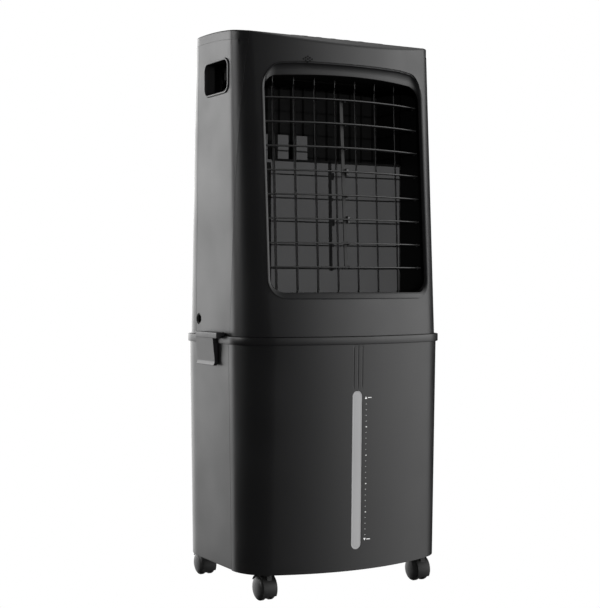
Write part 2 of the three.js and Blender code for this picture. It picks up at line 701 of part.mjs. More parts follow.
function louvreBlade(i) {
  const z = bladeZ(i);
  const half = OUTLET.halfWidth - 2;
  const steps = 8;
  const edge = (depth) => Array.from({ length: steps + 1 }, (_, k) => {
    const x = mix(-half, half, k / steps);
    return [x, upperFace(x, z) + depth];
  });
  const plan = polygon([...edge(BLADE_DEPTH), ...edge(BLADE_DEPTH + BLADE_CHORD).reverse()]);
  const strip = prismZ(plan, z - BLADE_THICK / 2, z + BLADE_THICK / 2);
  const pins = [-1, 1].map((side) => rod('x',
    [side < 0 ? -half - 8 : half - 3, bladeAxisY(i), z], 11, PIN, 6));
  const clip = i % 2 === 1 ? WIDE_LUG : NARROW_LUG;
  const lugX = ROD.x + ROD.web / 2 + 0.5;
  const lug = box(lugX, lugX + clip.thick, linkPinY(i) - LINK_PIN_BEHIND - 3, linkPinY(i) + 3,
    z - clip.half, z + clip.half);
  const linkPin = rod('x', [ROD.x - 3.5, linkPinY(i), z], 6, 1.4, 6);
  return union([strip, ...pins, lug, linkPin]);
}

function bladeLinkRod() {
  const top = { y: linkPinY(0), z: bladeZ(0) };
  const low = { y: linkPinY(BLADES - 1), z: bladeZ(BLADES - 1) };
  const lean = (top.y - low.y) / (top.z - low.z);
  const z1 = top.z + ROD.ends;
  const z0 = low.z - ROD.ends;
  const at = (z) => top.y + (z - top.z) * lean;
  const upright = (front, back) => polygon([
    [at(z0) + front, z0], [at(z0) + back, z0], [at(z1) + back, z1], [at(z1) + front, z1],
  ]);
  const right = ROD.x + ROD.web / 2;
  let web = prismX(upright(ROD.front, ROD.back), right - ROD.web, right);
  for (let i = 0; i < BLADES; i += 1) {
    web = web.subtract(rod('x', [ROD.x - 5, linkPinY(i), bladeZ(i)], 10, 2, 6));
  }
  const flange = prismX(upright(ROD.front, ROD.front + ROD.flangeThick), right - ROD.flange, right);
  return web.add(flange);
}

const VANE = { bottom: 617, top: 1041, neckTop: 1048.5, hub: 1059.2, arm: 14, armThick: 3, width: 4 };

function vane(i) {
  const blade = box(-VANE_THICK / 2, VANE_THICK / 2, -VANE_CHORD / 2, VANE_CHORD / 2, VANE.bottom, VANE.top);
  const neck = rod('z', [0, 0, VANE.top - 1], VANE.neckTop - VANE.top + 1, 3, 6);
  const pins = [
    rod('z', [0, 0, VANE.neckTop - 1], VANE.hub - VANE.neckTop + 2, PIN, 6),
    rod('z', [0, 0, VANE.bottom - 11], 12, PIN, 6),
  ];
  const half = VANE.width / 2;
  const arm = box(-half, half, -half, VANE.arm + 3, VANE.hub, VANE.hub + VANE.armThick);
  const linkPin = rod('z', [0, VANE.arm, VANE.hub + VANE.armThick - 1], 5.5, 1.3, 6);
  const turning = union([blade, arm, linkPin]).rotate([0, 0, -VANE_REST_TURN]);
  return onVaneAxis(union([turning, neck, ...pins]), vaneX(i));
}

function vaneLinkBar() {
  const turn = (VANE_REST_TURN * Math.PI) / 180;
  const pin = { x: VANE.arm * Math.sin(turn), y: VANE.arm * Math.cos(turn) };
  const z0 = VANE.hub + VANE.armThick + 0.6;
  const x0 = vaneX(0) + pin.x;
  const x1 = vaneX(VANES - 1) + pin.x;
  let bar = box(x0 - 7, x1 + 7, pin.y - 3.2, pin.y + 3.2, z0, z0 + 3);
  for (let i = 0; i < VANES; i += 1) {
    bar = bar.subtract(rod('z', [vaneX(i) + pin.x, pin.y, z0 - 5], 20, 2, 6));
  }
  return onVaneAxis(bar, 0);
}

const MOTOR = { x: 98, y: -104, radius: 18, height: 18, earHalf: 27 };

function swingMotor() {
  const z = OUTLET.top + FRAME_WALL + GAP + 0.4;
  const can = rod('z', [MOTOR.x, MOTOR.y, z], MOTOR.height, MOTOR.radius, 14);
  const ears = roundedRect(MOTOR.x - MOTOR.earHalf, MOTOR.x + MOTOR.earHalf, MOTOR.y - 6, MOTOR.y + 6, 5.5);
  return can.add(prismZ(ears, z, z + 2.5));
}

// ---------------------------------------------------------------- water side
const PUMP = { x: 200, y: 108, radius: 24, bottom: TANK_BOTTOM + 5 + GAP, height: 52, nozzle: 12 };
const HOSE = { x: 200, y: 108, radius: 6, bend: 48 };
const CAVITY = 6.3;

function waterPump() {
  return turned('z', [PUMP.x, PUMP.y, PUMP.bottom], [
    [0, 0], [PUMP.radius, 0], [PUMP.radius, PUMP.height - 6], [PUMP.radius - 6, PUMP.height],
    [6, PUMP.height], [6, PUMP.height + PUMP.nozzle], [0, PUMP.height + PUMP.nozzle],
  ], 16);
}

function pumpHose() {
  const start = PUMP.bottom + PUMP.height + PUMP.nozzle + GAP;
  const end = PAD.top + 18;
  const path = new THREE.CurvePath();
  path.add(new THREE.LineCurve3(new THREE.Vector3(HOSE.x, HOSE.y, start),
    new THREE.Vector3(HOSE.x, HOSE.y, end - HOSE.bend)));
  path.add(new THREE.CubicBezierCurve3(
    new THREE.Vector3(HOSE.x, HOSE.y, end - HOSE.bend),
    new THREE.Vector3(HOSE.x, HOSE.y, end - HOSE.bend * 0.45),
    new THREE.Vector3(HOSE.x - HOSE.bend * 0.55, HOSE.y, end),
    new THREE.Vector3(PAD.halfWidth + GAP + 0.5, HOSE.y, end)));
  const section = new THREE.Shape().absarc(0, 0, HOSE.radius, 0, Math.PI * 2);
  const geometry = new THREE.ExtrudeGeometry(section, { steps: 24, curveSegments: 4, extrudePath: path });
  return solid(geometry);
}

function waterTank() {
  const full = body(tankAt, TANK_BOTTOM, TANK_TOP, 0);
  const inner = body(tankAt, TANK_BOTTOM, TANK_TOP, WALL + GAP);
  const front = ahead(TANK_SEAM, TANK_BOTTOM - 2, TANK_TOP + 2, GAP / 2);
  const rimAt = (z) => tankAt(Math.min(z, TANK_TOP));
  const rim = body(rimAt, TANK_TOP, RIM_TOP, -RIM_PROUD);
  const pad = prismZ(roundedRect(-100, 100, -60, 60, 8), TANK_BOTTOM - 4, TANK_BOTTOM + 1);
  let tub = union([full.subtract(front), inner, rim, pad]);
  tub = tub.subtract(body(tankAt, TANK_BOTTOM + 5, RIM_TOP + 4, CAVITY));
  for (const side of [-1, 1]) {
    // the rim stops either side of the latch's flap, and the wall takes its catch
    const outside = TANK_HIGH.halfWidth;
    const cut = (inner, ...ranges) => box(...across(side, inner, FAR_X), ...ranges);
    tub = tub.subtract(cut(outside, LATCH.flapFront - 2.5, LATCH.flapBack + 2.5, TANK_TOP - 1, RIM_TOP + 1))
      .subtract(cut(outside, LATCH.barFront - 1.5, LATCH.flapFront - 1, RIM_TOP - 2.5, RIM_TOP + 1))
      .subtract(cut(outside - CATCH.depth, CATCH.front, CATCH.back, CATCH.bottom, CATCH.top));
    for (const y of [CASTER.frontY, CASTER.rearY]) {
      const boss = rod('z', [side * CASTER.x, y, TANK_BOTTOM + 4], 20, 11);
      tub = tub.add(boss).subtract(rod('z', [side * CASTER.x, y, TANK_BOTTOM - 2], 22, 5.5));
    }
  }
  tub = tub.subtract(rod('y', [0, 160, DRAIN.z], 60, DRAIN.hole, 14));
  return tub;
}

const DRAIN = { z: 84, hole: 12 };

function drainPlug() {
  const face = tankAt(DRAIN.z).rear;
  return turned('y', [0, face - 8, DRAIN.z], [
    [0, 0], [DRAIN.hole - 1.2, 0], [DRAIN.hole - 0.5, 3], [DRAIN.hole - 0.5, 8.6], [16, 8.6], [16, 11],
    [14, 12.4], [0, 12.4],
  ], 14);
}

function stadium(grow) {
  const { x, width, bottom, top } = WINDOW;
  const half = width / 2 + grow;
  return roundedRect(x - half, x + half, bottom - grow, top + grow, half - 0.01);
}

function tankFrontPanel() {
  return body(tankAt, TANK_BOTTOM, TANK_TOP - 0.5, 0)
    .subtract(body(tankAt, TANK_BOTTOM - 2, TANK_TOP + 2, WALL))
    .intersect(ahead(TANK_SEAM, TANK_BOTTOM - 3, TANK_TOP + 3, -GAP / 2))
    .subtract(prismY(stadium(0), -FAR_Y, -100));
}

function levelWindow() {
  return body(tankAt, 80, 440, 0.7).subtract(body(tankAt, 70, 450, WALL - 0.1))
    .intersect(prismY(stadium(-GAP), -FAR_Y, -100));
}

function latch(side) {
  const { barFront, barBack, barTop, barBottom, barOut, flapFront, flapBack, bottom, axisX, axisZ } = LATCH;
  const profile = (points) => polygon(points.map(([x, z]) => [side * x, z]));
  const bar = prismY(profile([
    [238.6, 529.3], [240.6, 527.3], [245.2, 527.3], [245.2, barBottom], [barOut, barBottom],
    [barOut, barTop - 2], [barOut - 2, barTop], [238.6, barTop],
  ]), barFront, barBack);
  const flap = prismY(profile([
    [240.2, 528], [240.2, 468], [243, bottom], [249.5, bottom], [249.5, bottom + 1.5], [247, bottom + 7],
    [251.5, barBottom], [251.5, 528],
  ]), flapFront, flapBack);
  const slot = box(...across(side, 236, 250), LUG.front - 1, LUG.back + 1, 519, 540);
  const pin = rod('y', [side * axisX, LUG.front - 2, axisZ], LUG.back - LUG.front + 4, 1.5, 8);
  const tongue = box(...across(side, 237.2, 241),
    CATCH.front + 1, CATCH.back - 1, CATCH.bottom + 4, CATCH.top - 4);
  return bar.add(flap).subtract(slot).add(pin).add(tongue);
}

// threaded water inlet in the left side
function waterInlet() {
  return turned('x', [-235.5, INLET.y, INLET.z], [
    [8.2, 0], [INLET.radius - 0.5, 0], [INLET.radius - 0.5, 4.2], [14, 4.2], [14, 7], [10.6, 7], [10.6, 24],
    [8.2, 24],
  ], 14);
}

function cordGland() {
  return turned('y', [-120, UPPER_LOW.rear - 8, 550], [
    [3.6, 0], [7, 0], [7, 8], [10, 8.2], [10, 11], [6.4, 19], [3.6, 19],
  ], 12);
}

// ---------------------------------------------------------------- casters
function casterFork(side, y) {
  const x = side * CASTER.x;
  const wheelY = y + CASTER.trail;
  const stem = rod('z', [x, y, 49.5], 23, 5, 10);
  const collar = rod('z', [x, y, 49.2], 3.8, 9);
  // hood between the wheels: a thick web with a rounded top
  const hood = rod('x', [x - 5, wheelY, CASTER.wheel], 10, 22.5, 14)
    .add(box(x - 5, x + 5, y - 8, wheelY, 26, 52));
  const cover = rod('x', [x - 19.5, wheelY, CASTER.wheel], 39, 27.8, 14)
    .subtract(rod('x', [x - 25, wheelY, CASTER.wheel], 50, 26, 14))
    .intersect(box(x - 30, x + 30, wheelY - 30, wheelY + 30, 38, 60));
  return union([stem, collar, hood, cover])
    .subtract(rod('x', [x - 25, wheelY, CASTER.wheel], 50, 3.7, 8))
    .intersect(box(x - 40, x + 40, y - 60, y + 60, 0, 53).add(stem));
}

// both discs of a caster with their axle
function casterWheels(side, y) {
  const x = side * CASTER.x;
  const wheelY = y + CASTER.trail;
  const r = CASTER.wheel;
  const wide = 13.5;
  const disc = (x0, flip) => turned('x', [x0, wheelY, r], flip
    ? [[0, 0], [r, 0], [r, wide - 2.5], [r - 3, wide], [0, wide]]
    : [[0, 0], [r - 3, 0], [r, 2.5], [r, wide], [0, wide]], 16);
  return union([
    disc(x - CASTER.width / 2, false), disc(x + CASTER.width / 2 - wide, true),
    rod('x', [x - 10, wheelY, CASTER.wheel], 20, 3, 8),
  ]);
}

// ---------------------------------------------------------------- assembly
piece('front_housing', frontHousing(), 'housing');
piece('left_side_panel', sidePanel(-1), 'housing');
piece('right_side_panel', sidePanel(1), 'housing');
piece('left_handle_cup', handleCup(-1), 'inner');
piece('right_handle_cup', handleCup(1), 'inner');
piece('top_cover', topCover(), 'housing');
piece('control_panel', controlPanel(), 'inner');
for (let i = 0; i < BUTTONS; i += 1) {
  piece(`button_${i + 1}`, button(i), 'louvre');
}
piece('rear_frame', rearFrame(), 'housing');
piece('filter_frame', filterFrame(), 'housing');
piece('cooling_pad', coolingPad(), 'pad');
piece('water_distributor', waterDistributor(), 'inner');
piece('base_tray', baseTray(), 'inner');
piece('scroll_housing', scrollHousing(), 'inner');
piece('scroll_front_plate', scrollPlate(), 'plate');
piece('outlet_duct', outletDuct(), 'inner');
piece('fan_motor', fanMotor(), 'metal');
piece('impeller', impeller(), 'inner');
piece('louvre_frame', louvreFrame(), 'inner');
for (let i = 0; i < BLADES; i += 1) {
  piece(`louvre_blade_${i + 1}`, louvreBlade(i), 'louvre');
}
piece('blade_link_rod', bladeLinkRod(), 'louvre');
for (let i = 0; i < VANES; i += 1) {
  piece(`swing_vane_${i + 1}`, vane(i), 'inner');
}
piece('vane_link_bar', vaneLinkBar(), 'inner');
piece('swing_motor', swingMotor(), 'metal');
piece('water_tank', waterTank(), 'housing');
piece('tank_front_panel', tankFrontPanel(), 'housing');
piece('level_window', levelWindow(), 'window');
piece('left_latch', latch(-1), 'housing');
piece('right_latch', latch(1), 'housing');
piece('drain_plug', drainPlug(), 'rubber');
piece('water_inlet', waterInlet(), 'inner');
piece('water_pump', waterPump(), 'rubber');
piece('pump_hose', pumpHose(), 'hose');
piece('cord_gland', cordGland(), 'rubber');
for (const [label, side, y] of [
  ['front_left', -1, CASTER.frontY], ['front_right', 1, CASTER.frontY],
  ['rear_left', -1, CASTER.rearY], ['rear_right', 1, CASTER.rearY],
]) {
  piece(`caster_fork_${label}`, casterFork(side, y), 'inner');
  piece(`caster_wheels_${label}`, casterWheels(side, y), 'rubber');
}

export default cooler;
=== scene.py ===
"""Looks of the mobile evaporative cooler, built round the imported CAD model.

Lengths in this script are millimetres, in the CAD frame: +X right, +Y back, +Z up, origin on the floor
under the middle of the footprint. They become metres where a mesh is made.
"""
import json
import math

import bmesh
import bpy
import numpy as np
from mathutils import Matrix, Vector
from mathutils.geometry import delaunay_2d_cdt


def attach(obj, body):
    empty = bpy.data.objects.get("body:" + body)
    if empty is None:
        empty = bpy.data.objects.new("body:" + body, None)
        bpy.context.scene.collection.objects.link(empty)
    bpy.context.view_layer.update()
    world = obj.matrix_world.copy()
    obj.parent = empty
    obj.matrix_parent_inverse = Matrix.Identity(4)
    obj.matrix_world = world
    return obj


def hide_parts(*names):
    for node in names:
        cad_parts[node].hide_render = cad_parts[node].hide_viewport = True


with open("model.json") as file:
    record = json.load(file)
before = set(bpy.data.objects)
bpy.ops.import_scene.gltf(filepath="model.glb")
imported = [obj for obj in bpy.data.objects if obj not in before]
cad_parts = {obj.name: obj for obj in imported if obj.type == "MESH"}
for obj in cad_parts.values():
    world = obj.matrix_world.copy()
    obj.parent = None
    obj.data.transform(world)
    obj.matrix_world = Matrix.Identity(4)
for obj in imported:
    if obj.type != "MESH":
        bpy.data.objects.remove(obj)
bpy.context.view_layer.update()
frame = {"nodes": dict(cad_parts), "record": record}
MM = 0.001

# ------------------------------------------------------------------ driving dimensions
GAP = 0.3
WALL = 3.0
BULGE = 62.0                    # how far the front bows out between its two sides
CREST_Z = 1150.0
TANK_BOTTOM = 55.0
TANK_TOP = 511.0
RIM_TOP = 526.5
RIM_PROUD = 4.5
UPPER_BOTTOM = 527.0

# plan outline at four heights
TANK_LOW = dict(z=TANK_BOTTOM, half=234.0, front=-183.7, rear=190.2, front_r=83.0, rear_r=88.0)
TANK_HIGH = dict(z=TANK_TOP, half=239.5, front=-192.2, rear=192.2, front_r=93.0, rear_r=90.0)
UPPER_LOW = dict(z=UPPER_BOTTOM, half=237.0, front=-186.5, rear=175.0, front_r=84.0, rear_r=70.0)
UPPER_HIGH = dict(z=CREST_Z, half=233.5, front=-147.6, rear=156.0, front_r=50.0, rear_r=70.0)

# seams as (y, z) end points
TANK_SEAM = ((-62.5, TANK_BOTTOM), (-60.5, TANK_TOP))
FRONT_SEAM = ((-60.5, UPPER_BOTTOM), (-98.0, 1134.0))
REAR_SEAM = ((97.0, UPPER_BOTTOM), (89.0, 1134.0))

# crowned top: an arc about a line across the cooler, then a steeper slope at the front
CROWN_Y = 80.0
CROWN_RADIUS = 1100.0
CROWN_FRONT_Y = -98.0
FRONT_SLOPE = 0.37
SKIRT = 19.0

OUTLET = dict(half=188.0, bottom=612.0, top=1050.0, corner=30.0)
COVE_DEPTH = 16.0
COVE_SPREAD = dict(side=5.0, top=21.0, bottom=11.0)
OUTLET_ARCH = 6.0               # how far the outlet's top edge rises at its middle
BLADES = 8
BLADE_TOP_Z = 1006.0
BLADE_PITCH = 48.6
BLADE_DEPTH = 18.0
BLADE_CHORD = 22.0
WIDE_LUGS = (3, 5)              # blades that carry the link rod's clips
VANES = 7
VANE_PITCH = 49.0
VANE_LEAN = math.radians(2.48)
VANE_TURN = math.radians(37)
VANE_AXIS = (-92.0, 620.0)
ROD = dict(x=-5.5, web=3.0, flange=8.0, flange_thick=2.2, front=-4.4, back=3.4)

HANDLE = dict(front=-52.0, back=60.0, bottom=1017.0, top=1089.0, corner=18.0, depth=33.0, proud=5.0)
HANDLE_RIM = dict(proud=3.2, width=3.4)
INLET = dict(y=84.0, z=559.0, radius=11.5)
WINDOW = dict(x=-15.0, width=23.0, bottom=97.0, top=417.5)
FILTER = dict(half=166.0, bottom=575.0, top=1095.0)
PANEL = dict(half=112.0, front=-93.0, back=-37.0, tip=7.5, corner=8.0, lift=0.6)
CASTER = dict(x=184.5, front=-124.0, rear=153.0, wheel=25.0, trail=14.0, width=39.0,
              web=22.5)
HOOD = dict(half=15.4, inside=26.1, outside=27.8, start=31.0, end=212.0)  # angles from +Y, over the top


def mix(a, b, t):
    return a + (b - a) * t


def even(a, b, count):
    """Values from a to b in equal steps, both ends included."""
    return [mix(a, b, i / count) for i in range(count + 1)]


# ------------------------------------------------------------------ the casing's own surface
class Shell:
    """The casing's wall between two plan outlines.

    A place on it is (u, z): u is the distance round the wall from the middle of the front, positive to
    the right, measured at the reference height, so the ends of the corner arcs keep their u at all heights.
    """

    def __init__(self, low, high, reference):
        self.low = low
        self.high = high
        self.cache = {}
        plan = self.plan(reference)
        lengths = [plan["touch"], -plan["start"] * plan["front_r"], plan["side_end"] - plan["side_start"],
                   plan["rear_r"] * math.pi / 2, plan["half"] - plan["rear_r"]]
        self.breaks = [0.0]
        for length in lengths:
            self.breaks.append(self.breaks[-1] + length)

    def plan(self, z):
        """Outline at a height: the corner arcs' centres and where they meet the straight parts."""
        if z in self.cache:
            return self.cache[z]
        t = (z - self.low["z"]) / (self.high["z"] - self.low["z"])
        plan = {key: mix(self.low[key], self.high[key], t) for key in self.low}
        half = plan["half"]
        radius = plan["front_r"]
        touch = half - radius
        for _ in range(8):
            slope = 2 * BULGE * touch / half ** 2
            touch = half - radius + radius * slope / math.hypot(1, slope)
        slope = 2 * BULGE * touch / half ** 2
        plan["touch"] = touch
        plan["start"] = math.atan2(-1, slope)
        plan["side_start"] = plan["front"] + BULGE * (touch / half) ** 2 + radius / math.hypot(1, slope)
        plan["side_end"] = plan["rear"] - plan["rear_r"]
        self.cache[z] = plan
        return plan

    def point(self, u, z, inset=0.0):
        """(x, y, z) at a place on the wall, moved inwards by inset."""
        plan = self.plan(z)
        around = 2 * self.breaks[5]
        u = (u + self.breaks[5]) % around - self.breaks[5]
        side = 1 if u >= 0 else -1
        w = abs(u)
        b = self.breaks
        if w <= b[1]:
            x = plan["touch"] * w / b[1]
            slope = 2 * BULGE * x / plan["half"] ** 2
            y = plan["front"] + BULGE * (x / plan["half"]) ** 2
            size = math.hypot(1, slope)
            normal = (slope / size, -1 / size)
        elif w <= b[2]:
            angle = plan["start"] * (b[2] - w) / (b[2] - b[1])
            normal = (math.cos(angle), math.sin(angle))
            x = plan["half"] - plan["front_r"] * (1 - normal[0])
            y = plan["side_start"] + plan["front_r"] * normal[1]
        elif w <= b[3]:
            x = plan["half"]
            y = mix(plan["side_start"], plan["side_end"], (w - b[2]) / (b[3] - b[2]))
            normal = (1, 0)
        elif w <= b[4]:
            angle = math.pi / 2 * (w - b[3]) / (b[4] - b[3])
            normal = (math.cos(angle), math.sin(angle))
            x = plan["half"] - plan["rear_r"] * (1 - normal[0])
            y = plan["side_end"] + plan["rear_r"] * normal[1]
        else:
            x = (plan["half"] - plan["rear_r"]) * (b[5] - w) / (b[5] - b[4])
            y = plan["rear"]
            normal = (0, 1)
        return (side * (x - normal[0] * inset), y - normal[1] * inset, z)

    def u_at_x(self, x, z):
        """u of a place on the front, on to its rounded corners."""
        plan = self.plan(z)
        b = self.breaks
        if abs(x) <= plan["touch"]:
            return x * b[1] / plan["touch"]
        angle = -math.acos(min(1, (abs(x) - plan["half"]) / plan["front_r"] + 1))
        return math.copysign(mix(b[2], b[1], angle / plan["start"]), x)

    def u_at_y(self, y, z):
        """u of a place on the right-hand side or its corners."""
        plan = self.plan(z)
        b = self.breaks
        if y < plan["side_start"]:
            angle = math.asin(max(-1, (y - plan["side_start"]) / plan["front_r"]))
            return mix(b[2], b[1], angle / plan["start"])
        if y > plan["side_end"]:
            angle = math.asin(min(1, (y - plan["side_end"]) / plan["rear_r"]))
            return mix(b[3], b[4], angle / (math.pi / 2))
        return mix(b[2], b[3], (y - plan["side_start"]) / (plan["side_end"] - plan["side_start"]))

    def columns(self, u0, u1, flat_step, corner_turn=4.0):
        """Grid lines for the wall: evenly on the flats, one every few degrees round the corners."""
        marks = []
        steps = [flat_step, 0, flat_step * 1.3, 0, flat_step]
        for i, step in enumerate(steps):
            length = self.breaks[i + 1] - self.breaks[i]
            count = math.ceil(length / step) if step else math.ceil(90 / corner_turn)
            marks += [mix(self.breaks[i], self.breaks[i + 1], k / count) for k in range(count)]
        marks.append(self.breaks[5])
        around = 2 * self.breaks[5]
        both = sorted({*marks, *(-m for m in marks[1:]), *(around - m for m in marks),
                       *(m - around for m in marks)})
        return [m for m in both if u0 < m < u1]


TANK = Shell(TANK_LOW, TANK_HIGH, 300.0)
UPPER = Shell(UPPER_LOW, UPPER_HIGH, 830.0)


def face_y(shell, x, z):
    """y of a shell's front, on to its rounded corners."""
    plan = shell.plan(z)
    if abs(x) <= plan["touch"]:
        return plan["front"] + BULGE * (x / plan["half"]) ** 2
    across = (abs(x) - plan["half"]) / plan["front_r"] + 1
    return plan["side_start"] - plan["front_r"] * math.sqrt(1 - across ** 2)


def tank_face(x, z):
    return face_y(TANK, x, z)


def upper_face(x, z):
    return face_y(UPPER, x, z)


def seam_y(seam, z):
    (y0, z0), (y1, z1) = seam
    return mix(y0, y1, (z - z0) / (z1 - z0))


def crown(y):
    """Height of the crowned top at a place front to back."""
    def arc(at):
        return CREST_Z - (at - CROWN_Y) ** 2 / (2 * CROWN_RADIUS)
    if y > CROWN_FRONT_Y:
        return arc(y)
    return arc(CROWN_FRONT_Y) + (y - CROWN_FRONT_Y) * FRONT_SLOPE


def top_edge(u, drop):
    """Height at which the wall meets the crown lowered by a drop."""
    z = CREST_Z - drop
    for _ in range(12):
        z = crown(UPPER.point(u, z)[1]) - drop
    return z


def seam_top(seam, shift, drop):
    """Height at which a seam meets the lowered crown."""
    z = CREST_Z - drop
    for _ in range(12):
        z = crown(seam_y(seam, z) + shift) - drop
    return z


# ------------------------------------------------------------------ outlines
def stretch(a, b, step):
    """Points from a towards b, without b."""
    count = max(1, round(math.dist(a, b) / step))
    return [(mix(a[0], b[0], i / count), mix(a[1], b[1], i / count)) for i in range(count)]


def rounded_rect(u0, u1, v0, v1, radius, step=5.0, arc_steps=10):
    """Closed outline, counter-clockwise, with evenly divided straight parts."""
    centres = [(u1 - radius, v0 + radius, -90), (u1 - radius, v1 - radius, 0),
               (u0 + radius, v1 - radius, 90), (u0 + radius, v0 + radius, 180)]
    arcs = [arc(cu, cv, radius, start, start + 90, arc_steps) for cu, cv, start in centres]
    points = []
    for i, corner in enumerate(arcs):
        points += corner[:-1]
        points += stretch(corner[-1], arcs[(i + 1) % 4][0], step)
    return points


def arc(u, v, radius, start, end, count):
    """Points round a circle's centre from one angle in degrees to another."""
    turns = [math.radians(a) for a in even(start, end, count)]
    return [(u + radius * math.cos(t), v + radius * math.sin(t)) for t in turns]


def circle(u, v, radius, count):
    return arc(u, v, radius, 0, 360, count)[:-1]


def soften(points, radius, steps=4):
    """A closed outline with each corner turned into an arc; radius is one value or one for each corner."""
    result = []
    count = len(points)
    for i, point in enumerate(points):
        r = radius[i] if isinstance(radius, (list, tuple)) else radius
        here = np.array(point, float)
        before = np.array(points[i - 1], float) - here
        after = np.array(points[(i + 1) % count], float) - here
        la, lb = np.linalg.norm(before), np.linalg.norm(after)
        before, after = before / la, after / lb
        half = math.acos(max(-1, min(1, float(before @ after)))) / 2
        if r <= 0 or abs(math.pi / 2 - half) < 0.02:
            result.append(tuple(here))
            continue
        reach = min(r / math.tan(half), 0.49 * la, 0.49 * lb)
        r = reach * math.tan(half)
        middle = (before + after) / np.linalg.norm(before + after)
        centre = here + middle * (r / math.sin(half))
        a = here + before * reach - centre
        b = here + after * reach - centre
        a0 = math.atan2(a[1], a[0])
        turn = (math.atan2(b[1], b[0]) - a0 + math.pi) % (2 * math.pi) - math.pi
        for k in range(steps + 1):
            angle = a0 + turn * k / steps
            result.append((centre[0] + r * math.cos(angle), centre[1] + r * math.sin(angle)))
    return result


# ------------------------------------------------------------------ mesh parts: (vertices, faces)
def inside(points, loop):
    """Which points lie inside a closed outline."""
    a = np.asarray(loop, float)
    b = np.roll(a, -1, axis=0)
    x, y = points[:, :1], points[:, 1:]
    crosses = (a[:, 1] > y) != (b[:, 1] > y)
    rise = np.where(b[:, 1] == a[:, 1], 1e-9, b[:, 1] - a[:, 1])
    at = (b[:, 0] - a[:, 0]) * (y - a[:, 1]) / rise + a[:, 0]
    return (crosses & (x < at)).sum(axis=1) % 2 == 1


def near(points, loop, reach):
    """Which points lie within reach of an outline's points."""
    a = np.asarray(loop, float)
    gap = np.hypot(points[:, :1] - a[:, 0], points[:, 1:] - a[:, 1])
    return gap.min(axis=1) < reach


def fill(outer, holes, columns, rows, clear):
    """Triangles over a flat outline with holes, through a grid of inner points."""
    grid = np.array([(u, v) for u in columns for v in rows], float).reshape(-1, 2)
    keep = inside(grid, outer) & ~near(grid, outer, clear)
    for hole in holes:
        keep &= ~inside(grid, hole) & ~near(grid, hole, clear)
    points = [Vector(p) for loop in (outer, *holes) for p in loop]
    edges = []
    first = 0
    for loop in (outer, *holes):
        edges += [(first + i, first + (i + 1) % len(loop)) for i in range(len(loop))]
        first += len(loop)
    points += [Vector(p) for p in grid[keep]]
    verts, _, faces, _, _, _ = delaunay_2d_cdt(points, edges, [], 0, 1e-7, False)
    flat = np.array([tuple(v) for v in verts])
    faces = np.array(faces)
    middles = flat[faces].mean(axis=1)
    keep = inside(middles, outer)
    for hole in holes:
        keep &= ~inside(middles, hole)
    return flat, faces[keep].tolist()


def join(parts):
    verts = []
    faces = []
    for part_verts, part_faces in parts:
        first = len(verts)
        verts += [tuple(v) for v in part_verts]
        faces += [tuple(first + i for i in face) for face in part_faces]
    return verts, faces


def strips(rings, closed=True, wrap=False):
    """Skin through rings of points: closed joins each ring's ends, wrap joins the last ring to the first."""
    count = len(rings[0])
    total = len(rings)
    verts = [p for ring in rings for p in ring]
    faces = []
    for s in range(total if wrap else total - 1):
        for i in range(count if closed else count - 1):
            a, b = s * count + i, s * count + (i + 1) % count
            c, d = (s + 1) % total * count + (i + 1) % count, (s + 1) % total * count + i
            faces.append((a, b, c, d))
    return verts, faces


def loft(rings):
    """Closed solid through rings, with flat ends."""
    verts, faces = strips(rings)
    count = len(rings[0])
    last = (len(rings) - 1) * count
    faces.append(tuple(range(count))[::-1])
    faces.append(tuple(range(last, last + count)))
    return verts, faces


def place(axis, a, b, along):
    """3-D point from a flat (a, b) and a distance along an axis."""
    return {"x": (along, a, b), "y": (a, along, b), "z": (a, b, along)}[axis]


def prism(axis, outline, start, end):
    return loft([[place(axis, a, b, along) for a, b in outline] for along in (start, end)])


def box(x0, x1, y0, y1, z0, z1):
    return prism("z", [(x0, y0), (x1, y0), (x1, y1), (x0, y1)], z0, z1)


def lathe(axis, centre, profile, steps=32):
    """A profile of (radius, height) turned about an axis; it ends on the axis or closes on itself."""
    on_axis = profile[0][0] == 0 and profile[-1][0] == 0
    rings = []
    for k in range(steps):
        angle = 2 * math.pi * k / steps
        ring = []
        for radius, height in profile:
            a, b = radius * math.cos(angle), radius * math.sin(angle)
            offset = place(axis, a, b, height)
            ring.append(tuple(c + o for c, o in zip(centre, offset)))
        rings.append(ring)
    return strips(rings, closed=not on_axis, wrap=True)


def peg(axis, centre, radius, length, steps):
    """Plain round pin from a centre along an axis."""
    return lathe(axis, centre, [(0, 0), (radius, 0), (radius, length), (0, length)], steps)


def plate(axis, outline, holes, start, end):
    """Flat plate with holes, between two distances along an axis."""
    flat, faces = fill(outline, holes, [], [], 1.0)
    parts = [([place(axis, a, b, start) for a, b in flat], [face[::-1] for face in faces]),
             ([place(axis, a, b, end) for a, b in flat], faces)]
    for loop in (outline, *holes):
        parts.append(strips([[place(axis, a, b, along) for a, b in loop] for along in (start, end)]))
    return join(parts)


def added(name, data):
    """An object for a mesh, lamp or camera, in the scene."""
    obj = bpy.data.objects.new(name, data)
    bpy.context.scene.collection.objects.link(obj)
    return obj


def moved(part, change):
    verts, faces = part
    return [change(v) for v in verts], faces


def mirrored(part, side):
    """A part drawn on the right, on either side."""
    verts, faces = part
    if side > 0:
        return part
    return [(-x, y, z) for x, y, z in verts], [face[::-1] for face in faces]


